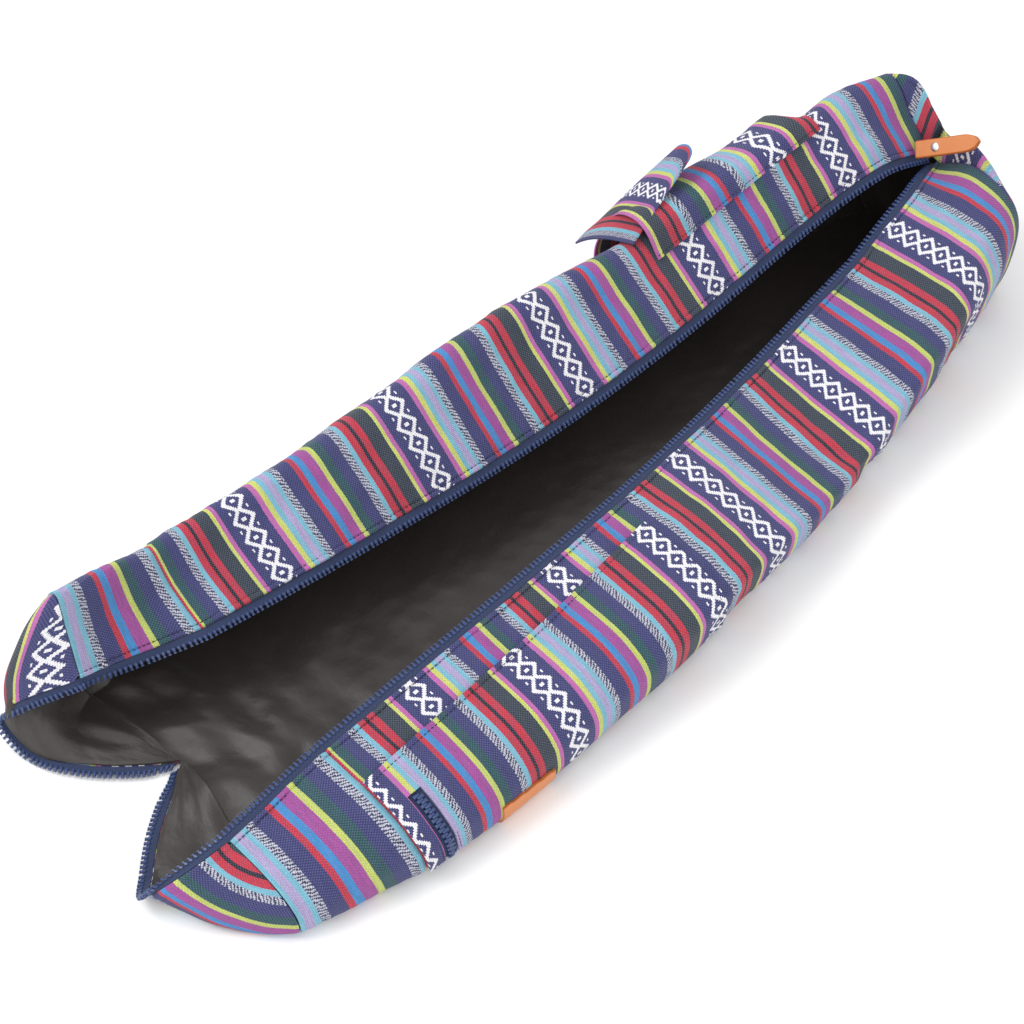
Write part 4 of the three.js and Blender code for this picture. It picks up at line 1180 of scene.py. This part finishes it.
def pocket_surface(a, b):
    """The flap pocket: it stands off the wall by its depth, rising within 10 mm of its sides
    and of its closed end."""
    size = sizes()
    x, arc = pocket_base(a, b)
    depth = size["pocket_depth"]
    girth = size["pocket_girth"]
    close = (1 - a) * size["pocket_length"]
    rise = smooth(b * girth / (depth * 2.4)) * smooth((1 - b) * girth / (depth * 0.7))
    rise = rise * smooth(close / (depth * 0.8))
    sag = 1.2 * ripple(x, arc, 55, 12.0) * rise
    pleat = -2.4 * np.exp(-((x - arc * 0.5 - 560) / 5.0) ** 2) * smooth((a - 0.7) / 0.3) * rise
    return over_wall(x, arc, 1.2 + depth * rise + sag + pleat, 1)


def flap_surface(a, b):
    """The lifted flap. Its right side is a straight line from beside the pocket's mouth up to
    the lifted corner. From there each section runs outward and bends down: its slope turns
    from 12 to 82 degrees, over 95 mm at the hinge and 34 mm at the free edge, summed in 40
    steps. The free corners are rounded."""
    size = sizes()
    a, b = np.broadcast_arrays(np.asarray(a, float), np.asarray(b, float))
    q = np.clip((np.abs(2 * b - 1) - 0.72) / 0.28, 0, 1)
    a = a * (1 - 0.12 * (1 - np.sqrt(1 - q * q)))
    mouth = size["body_length"] * POCKET_START
    arc = size["disc_diameter"] * POCKET_ARC + size["pocket_depth"] * 1.2
    hinge = over_wall(np.array([mouth - 11.0]), np.array([arc]), 4.0, 1)[0]
    corner = over_wall(np.array([mouth + size["flap_length"] - 8]), np.array([arc]), 29.0, 1)[0]
    point = hinge + (corner - hinge) * a[..., None]
    width = b * size["pocket_girth"] * mix(0.50, 0.66, smooth(a / 0.5))
    for step in range(40):
        along = width * (step + 0.5) / 40
        slope = np.radians(mix(12.0, 82.0, smooth(along / mix(95.0, 34.0, a))))
        point = point + np.stack([0 * slope, np.cos(slope), -np.sin(slope)], -1) * (width / 40)[..., None]
    point[..., 0] -= 10 * b * (1 - a)
    point[..., 2] += 1.2 * ripple(a * 70, b * 60, 55, 14.0) * smooth(a / 0.3) * smooth(b / 0.2)
    return point


def sheet_under(surface, wall_under, a, b, thick):
    """The outer and inner grids of a sheet whose outside is a surface function, turned away
    from what lies under it."""
    outer = surface(a, b)
    normal = normals_of(surface, np.clip(a, 0.01, 0.99), np.clip(b, 0.01, 0.99), 0.01, 0.01)
    away = outer - wall_under
    normal = normal * np.where(np.sum(normal * away, -1, keepdims=True) < 0, -1, 1)
    return outer, outer - normal * thick


class BAG_OT_flap_pocket(bpy.types.Operator):
    """The flap pocket on the left wall and its lifted flap"""

    bl_idname = "bag.flap_pocket"
    bl_label = "Flap pocket"

    def execute(self, context):
        size = sizes()
        a, b = np.meshgrid(np.linspace(0, 1, 90), np.linspace(0, 1, 80), indexing="ij")
        x, arc = pocket_base(a, b)
        under = over_wall(x, arc, -size["pocket_depth"], 1)
        outer, inner = sheet_under(pocket_surface, under, a, b, 1.0)
        uv = np.stack([stripe_at(0.795) + (1 - a) * size["pocket_length"], b * size["pocket_girth"] + 4], -1)
        sheet_piece("flap_pocket_cloth", outer, inner, uv, finish_of("cotton"),
                    ("flap_pocket",))
        a, b = np.meshgrid(np.linspace(0, 1, 60), np.linspace(0, 1, 60), indexing="ij")
        under = flap_surface(a, b) + np.array([20.0, -30.0, -60.0])
        outer, inner = sheet_under(flap_surface, under, a, b, 1.2)
        uv = np.stack([stripe_at(mix(0.69, 1.50, a)), b * size["pocket_girth"] + 2], -1)
        sheet_piece("pocket_flap_cloth", outer, inner, uv, finish_of("cotton"),
                    ("pocket_flap",))
        return {"FINISHED"}


def hem_arc(x):
    """The upper edge of the zip pocket, as the distance from the right lip."""
    size = sizes()
    share = (x - size["band_length"]) / size["panel_length"]
    return mix(size["disc_diameter"] * 0.188, size["disc_diameter"] * 0.14, share)


def floor_arc(x):
    """The distance from the right lip at which the wall comes within 8.5 mm of the floor."""
    size = sizes()
    arc = np.arange(size["disc_diameter"] * 0.3, size["disc_diameter"], 1.0)
    flat, back = np.unique(np.ravel(x), return_inverse=True)
    grid_x, grid_arc = np.meshgrid(flat, arc, indexing="ij")
    low = over_wall(grid_x, grid_arc, 0.0, -1)[..., 2] <= size["disc_diameter"] * 0.05
    return arc[np.argmax(low, axis=1)][back].reshape(np.shape(x))


WINDOW_START = 1.2
WINDOW_WIDTH = 10.5
PANEL_LIFT = 1.6
PANEL_THICK = 1.5


class BAG_OT_zip_pocket(bpy.types.Operator):
    """The zip pocket on the right wall, its short closed zip and the leather patch"""

    bl_idname = "bag.zip_pocket"
    bl_label = "Zip pocket"

    def execute(self, context):
        size = sizes()
        start = size["band_length"]
        window = start + WINDOW_WIDTH * WINDOW_START
        x = np.concatenate([np.linspace(start + 0.3, window, 8),
                            np.linspace(window, window + WINDOW_WIDTH, 8)[1:],
                            np.linspace(window + WINDOW_WIDTH, start + size["panel_length"], 96)[1:]])
        b = np.linspace(0, 1, 49)
        grid_x, grid_b = np.meshgrid(x, b, indexing="ij")
        low = floor_arc(grid_x)
        arc = mix(hem_arc(grid_x), low, grid_b)
        edge = np.minimum(arc - hem_arc(grid_x), start + size["panel_length"] - grid_x)
        hem = 0.5 * (1 - smooth((edge - 2.6) / 0.8)) - 0.45 * np.exp(-((edge - 3.4) / 0.5) ** 2)
        slack = (0.5 + 0.5 * ripple(grid_x, arc, 60, 16.0)) * smooth(edge / 14)
        out = PANEL_LIFT + PANEL_THICK + hem + slack
        outer = over_wall(grid_x, arc, out, -1)
        inner = over_wall(grid_x, arc, PANEL_LIFT, -1)
        cell_x = (x[:-1] + x[1:]) / 2
        in_window = (cell_x > window) & (cell_x < window + WINDOW_WIDTH)
        keep = ~(in_window[:, None] & (b[:-1] >= 1 / 3 - 1e-6)[None])
        uv = np.stack([stripe_at(0.828) + grid_x - 165.0, arc], -1)
        sheet_piece("zip_pocket_cloth", outer, inner, uv, finish_of("cotton"),
                    ("zip_pocket_panel",), keep=keep)
        self.short_zip(size, window)
        patch_x = size["body_length"] * PATCH_START
        patch_x = np.linspace(patch_x, patch_x + PATCH_LENGTH, 22)
        grid_x, grid_b = np.meshgrid(patch_x, np.linspace(0, 1, 10), indexing="ij")
        arc = floor_arc(grid_x) + PATCH_DROP - PATCH_HEIGHT * (1 - grid_b)
        base = PANEL_LIFT + PANEL_THICK + 0.6
        outer = over_wall(grid_x, arc, base + PATCH_THICK, -1)
        inner = over_wall(grid_x, arc, base, -1)
        for layer in (outer, inner):
            layer[..., 2] = np.maximum(layer[..., 2], 0.3)
        uv = np.stack([grid_x, mix(-1, 1, grid_b)], -1)
        sheet_piece("leather_patch_plain", outer, inner, uv, finish_of("leather"),
                    ("leather_patch",))
        return {"FINISHED"}

    def short_zip(self, size, window):
        """The zip in the window: a tape and two meshed rows of teeth down its middle."""
        x = np.linspace(window + size["gap"], window + WINDOW_WIDTH - size["gap"], 14)
        grid_x, grid_b = np.meshgrid(x, np.linspace(1 / 3, 1, 30), indexing="ij")
        arc = mix(hem_arc(grid_x), floor_arc(grid_x), grid_b) + size["gap"]
        outer = over_wall(grid_x, arc, PANEL_LIFT + 0.3, -1)
        inner = over_wall(grid_x, arc, PANEL_LIFT - 0.4, -1)
        uv = np.stack([arc, grid_x - window], -1)
        sheet_piece("pocket_zip_tape_woven", outer, inner, uv, finish_of("tape"),
                    ("pocket_zip_tape",))
        middle = window + WINDOW_WIDTH / 2
        top = float(mix(hem_arc(middle), floor_arc(np.array([middle]))[0], 1 / 3)) + 3
        low = float(floor_arc(np.array([middle]))[0])
        spots = np.arange(top, low, size["tooth_pitch"] / 2)
        side = np.where(np.arange(len(spots)) % 2 == 0, 1.0, -1.0)
        at = over_wall(np.full_like(spots, middle), spots, PANEL_LIFT + 1.25, -1)
        ahead = over_wall(np.full_like(spots, middle), spots + 1, PANEL_LIFT + 1.25, -1)
        up = unit(at - over_wall(np.full_like(spots, middle), spots, PANEL_LIFT - 1, -1))
        along = unit(ahead - at)
        out = np.cross(along, up) * side[:, None]
        axes = np.stack([along, out, np.cross(along, out)], 1)
        rings = ((-1.3, 0.7, 0.95), (-0.9, 0.8, 1.2), (2.0, 1.2, 1.3), (3.0, 1.1, 1.0))
        points, faces = chamfered_rings(rings, 0.35)
        points, faces = repeated(points, of_one_size(faces), at, axes)
        add_piece("pocket_zip_teeth_moulded", points, faces, finish_of("teeth"),
                  ("pocket_zip_teeth",), sharp=35)


# Leather tab and rivet

def tab_axes():
    """The fold of the leather tab and its three axes: along, across and up."""
    size = sizes()
    fold = np.array([size["body_length"] - 13, size["disc_diameter"] * 0.194, size["disc_diameter"] * 0.544])
    run = unit(np.array([0.226, -0.830, 0.510]))
    fold = fold + run * 3.0
    side = np.array([0.52, 0.62, 0.59])
    side = unit(side - run * (side @ run))
    up = unit(np.cross(run, side))
    return fold, run, side, up if up[2] > 0 else -up


class BAG_OT_pull_tab(bpy.types.Operator):
    """The folded leather tab at the far end of the zip, and its domed rivet"""

    bl_idname = "bag.pull_tab"
    bl_label = "Pull tab"

    def execute(self, context):
        size = sizes()
        fold, run_axis, side_axis, up_axis = tab_axes()
        thick = 1.4
        radius = thick / 2 + 0.8
        straight = size["tab_length"]
        turn = math.pi * radius
        along = np.concatenate([
            straight * np.sin(np.linspace(0, math.pi / 2, 34)),
            straight + turn * np.linspace(0, 1, 14)[1:-1],
            straight + turn + straight * (1 - np.cos(np.linspace(0, math.pi / 2, 34)))])
        angle = np.clip((along - straight) / turn, 0, 1) * math.pi
        run = np.where(along <= straight, straight - along,
                       np.where(along < straight + turn, -radius * np.sin(angle), along - straight - turn))
        up = radius * np.cos(angle)
        facing = np.stack([-np.sin(angle), np.cos(angle)], 1)
        curl = np.maximum(0, run) ** 2 / straight * 0.06
        centre = fold + run[:, None] * run_axis + (up + curl)[:, None] * up_axis
        normal = facing[:, :1] * run_axis + facing[:, 1:] * up_axis
        tip = np.clip((run - (straight - size["tab_width"] * 1.1)) / (size["tab_width"] * 1.1), 0, 1)
        wide = size["tab_width"] / 2 * np.maximum(0.12, np.sqrt(1 - 0.985 * tip * tip))
        across = np.concatenate([[-1, -0.96, -0.9], np.linspace(-0.75, 0.75, 9), [0.9, 0.96, 1]])
        soft = thick / 2 * (1 - 0.45 * np.maximum(0, np.abs(across) - 0.88) / 0.12)
        body = centre[:, None] + side_axis * (wide[:, None] * across[None])[..., None]
        outer = body + normal[:, None] * soft[None, :, None]
        inner = body - normal[:, None] * soft[None, :, None]
        uv = np.stack(np.broadcast_arrays(along[:, None], across[None]), -1)
        sheet_piece("pull_tab_leather", outer, inner, uv, finish_of("leather"),
                    ("pull_tab",))
        seat = fold + run_axis * straight * 0.3 + up_axis * (radius + thick / 2 + 0.1)
        profile = np.array([(0.35, 1.85), (0.7, 1.55), (0.92, 1.05), (1.0, 0.6), (0.97, 0.15), (0.9, 0.0)])
        spin = np.linspace(0, 2 * math.pi, 33)[:-1]
        flat = np.outer(profile[:, 0], np.cos(spin))[..., None] * run_axis
        flat = flat + np.outer(profile[:, 0], np.sin(spin))[..., None] * side_axis
        rings = seat + flat * size["rivet_diameter"] / 2 + profile[:, 1][:, None, None] * up_axis
        points, faces = swept(rings)
        add_piece("pull_rivet_dome", points, faces, finish_of("rivet"),
                  ("pull_rivet",), sharp=60)
        return {"FINISHED"}


# Stage

# The camera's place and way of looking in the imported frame, fitted to the photograph
CAMERA_PLACE = np.array([-499.1, -748.6, 1309.0])
CAMERA_LOOK = (0.4682, 0.4622, -0.7531)
CAMERA_RIGHT = (0.7025, -0.7117, 0.0)
CAMERA_LENS = 93.69


class BAG_OT_stage(bpy.types.Operator):
    """A pale floor, soft studio light and the camera"""

    bl_idname = "bag.stage"
    bl_label = "Stage"

    def execute(self, context):
        scene = bpy.context.scene
        floor = bpy.data.meshes.new("floor")
        reach = 6.0
        floor.from_pydata([(-reach, -reach, 0), (reach, -reach, 0), (reach, reach, 0), (-reach, reach, 0)],
                          [], [(0, 1, 2, 3)])
        material, _, shader = new_material("matt_white_paint")
        shader.inputs["Base Color"].default_value = (0.93, 0.93, 0.93, 1)
        shader.inputs["Roughness"].default_value = 0.9
        floor.materials.append(material)
        plane = bpy.data.objects.new("studio_floor", floor)
        plane.location = (0, 0, -0.0005)
        scene.collection.objects.link(plane)
        world = bpy.data.worlds.new("studio")
        scene.world = world
        world.use_nodes = True
        world.node_tree.nodes["Background"].inputs[0].default_value = (1, 1, 1, 1)
        world.node_tree.nodes["Background"].inputs[1].default_value = 0.9
        for name, place, wide, power in (
                ("key_light", (-1.2, 1.4, 2.4), 1.6, 42.0), ("fill_light", (-1.0, -1.6, 1.8), 2.0, 14.0)):
            light = bpy.data.lights.new(name, "AREA")
            light.size = wide
            light.energy = power
            lamp = bpy.data.objects.new(name, light)
            lamp.location = place
            lamp.rotation_euler = (-Vector(place)).to_track_quat("-Z", "Y").to_euler()
            scene.collection.objects.link(lamp)
        camera = bpy.data.cameras.new("camera")
        camera.lens = CAMERA_LENS
        camera.sensor_width = 36
        camera.clip_end = 50
        eye = bpy.data.objects.new("camera", camera)
        right = Vector(CAMERA_RIGHT).normalized()
        look = Vector(CAMERA_LOOK).normalized()
        upward = right.cross(look)
        turn = Matrix((right, upward, -look)).transposed().to_4x4()
        eye.matrix_world = Matrix.Translation(Vector((CAMERA_PLACE - BAG_MIDDLE) * MM)) @ turn
        scene.collection.objects.link(eye)
        scene.camera = eye
        scene.view_settings.view_transform = "Standard"
        return {"FINISHED"}


class BAG_PT_panel(bpy.types.Panel):
    """Lists the bag's pieces in the sidebar"""

    bl_label = "Striped mat bag"
    bl_idname = "BAG_PT_panel"
    bl_space_type = "VIEW_3D"
    bl_region_type = "UI"
    bl_category = "Mat bag"

    def draw(self, context):
        column = self.layout.column()
        for key in BagSizes.__annotations__:
            column.prop(context.scene.bag_sizes, key)
        for key in BagColours.__annotations__:
            column.prop(context.scene.bag_colours, key)
        for operator in OPERATORS:
            column.operator(operator.bl_idname)


OPERATORS = (
    BAG_OT_walls, BAG_OT_near_end, BAG_OT_far_end, BAG_OT_lining, BAG_OT_main_zip, BAG_OT_stitches,
    BAG_OT_flap_pocket, BAG_OT_zip_pocket, BAG_OT_pull_tab, BAG_OT_stage,
)
CLASSES = (BagSizes, BagColours, *OPERATORS, BAG_PT_panel)


def register():
    """Registers the classes and the two groups of values."""
    for kind in CLASSES:
        bpy.utils.register_class(kind)
    bpy.types.Scene.bag_sizes = bpy.props.PointerProperty(type=BagSizes)
    bpy.types.Scene.bag_colours = bpy.props.PointerProperty(type=BagColours)


def unregister():
    """Removes them again."""
    del bpy.types.Scene.bag_colours
    del bpy.types.Scene.bag_sizes
    for kind in reversed(CLASSES):
        bpy.utils.unregister_class(kind)


def declare_sheets():
    """Reads the bag's sizes and declares no sheet. Each sheet's cut would come from the bag's design
    lengths where there is one; the six constants above were read from the drawn cloth instead. The
    six constants above were read from the drawn cloth instead, so for the ends and the band the area
    check is only partly separate, and for the flap, panel, patch and short zip it says little.
    Main wall: width = pi * disc diameter - both tapes, length = body - band.
    End: the flat disc whose rim is the end seam, area = girth^2 / (4 * pi)."""
    size = sizes()


def main():
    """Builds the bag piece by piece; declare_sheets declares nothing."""
    register()
    for operator in OPERATORS:
        group, name = operator.bl_idname.split(".")
        getattr(getattr(bpy.ops, group), name)()
    declare_sheets()


if __name__ == "__main__":
    main()
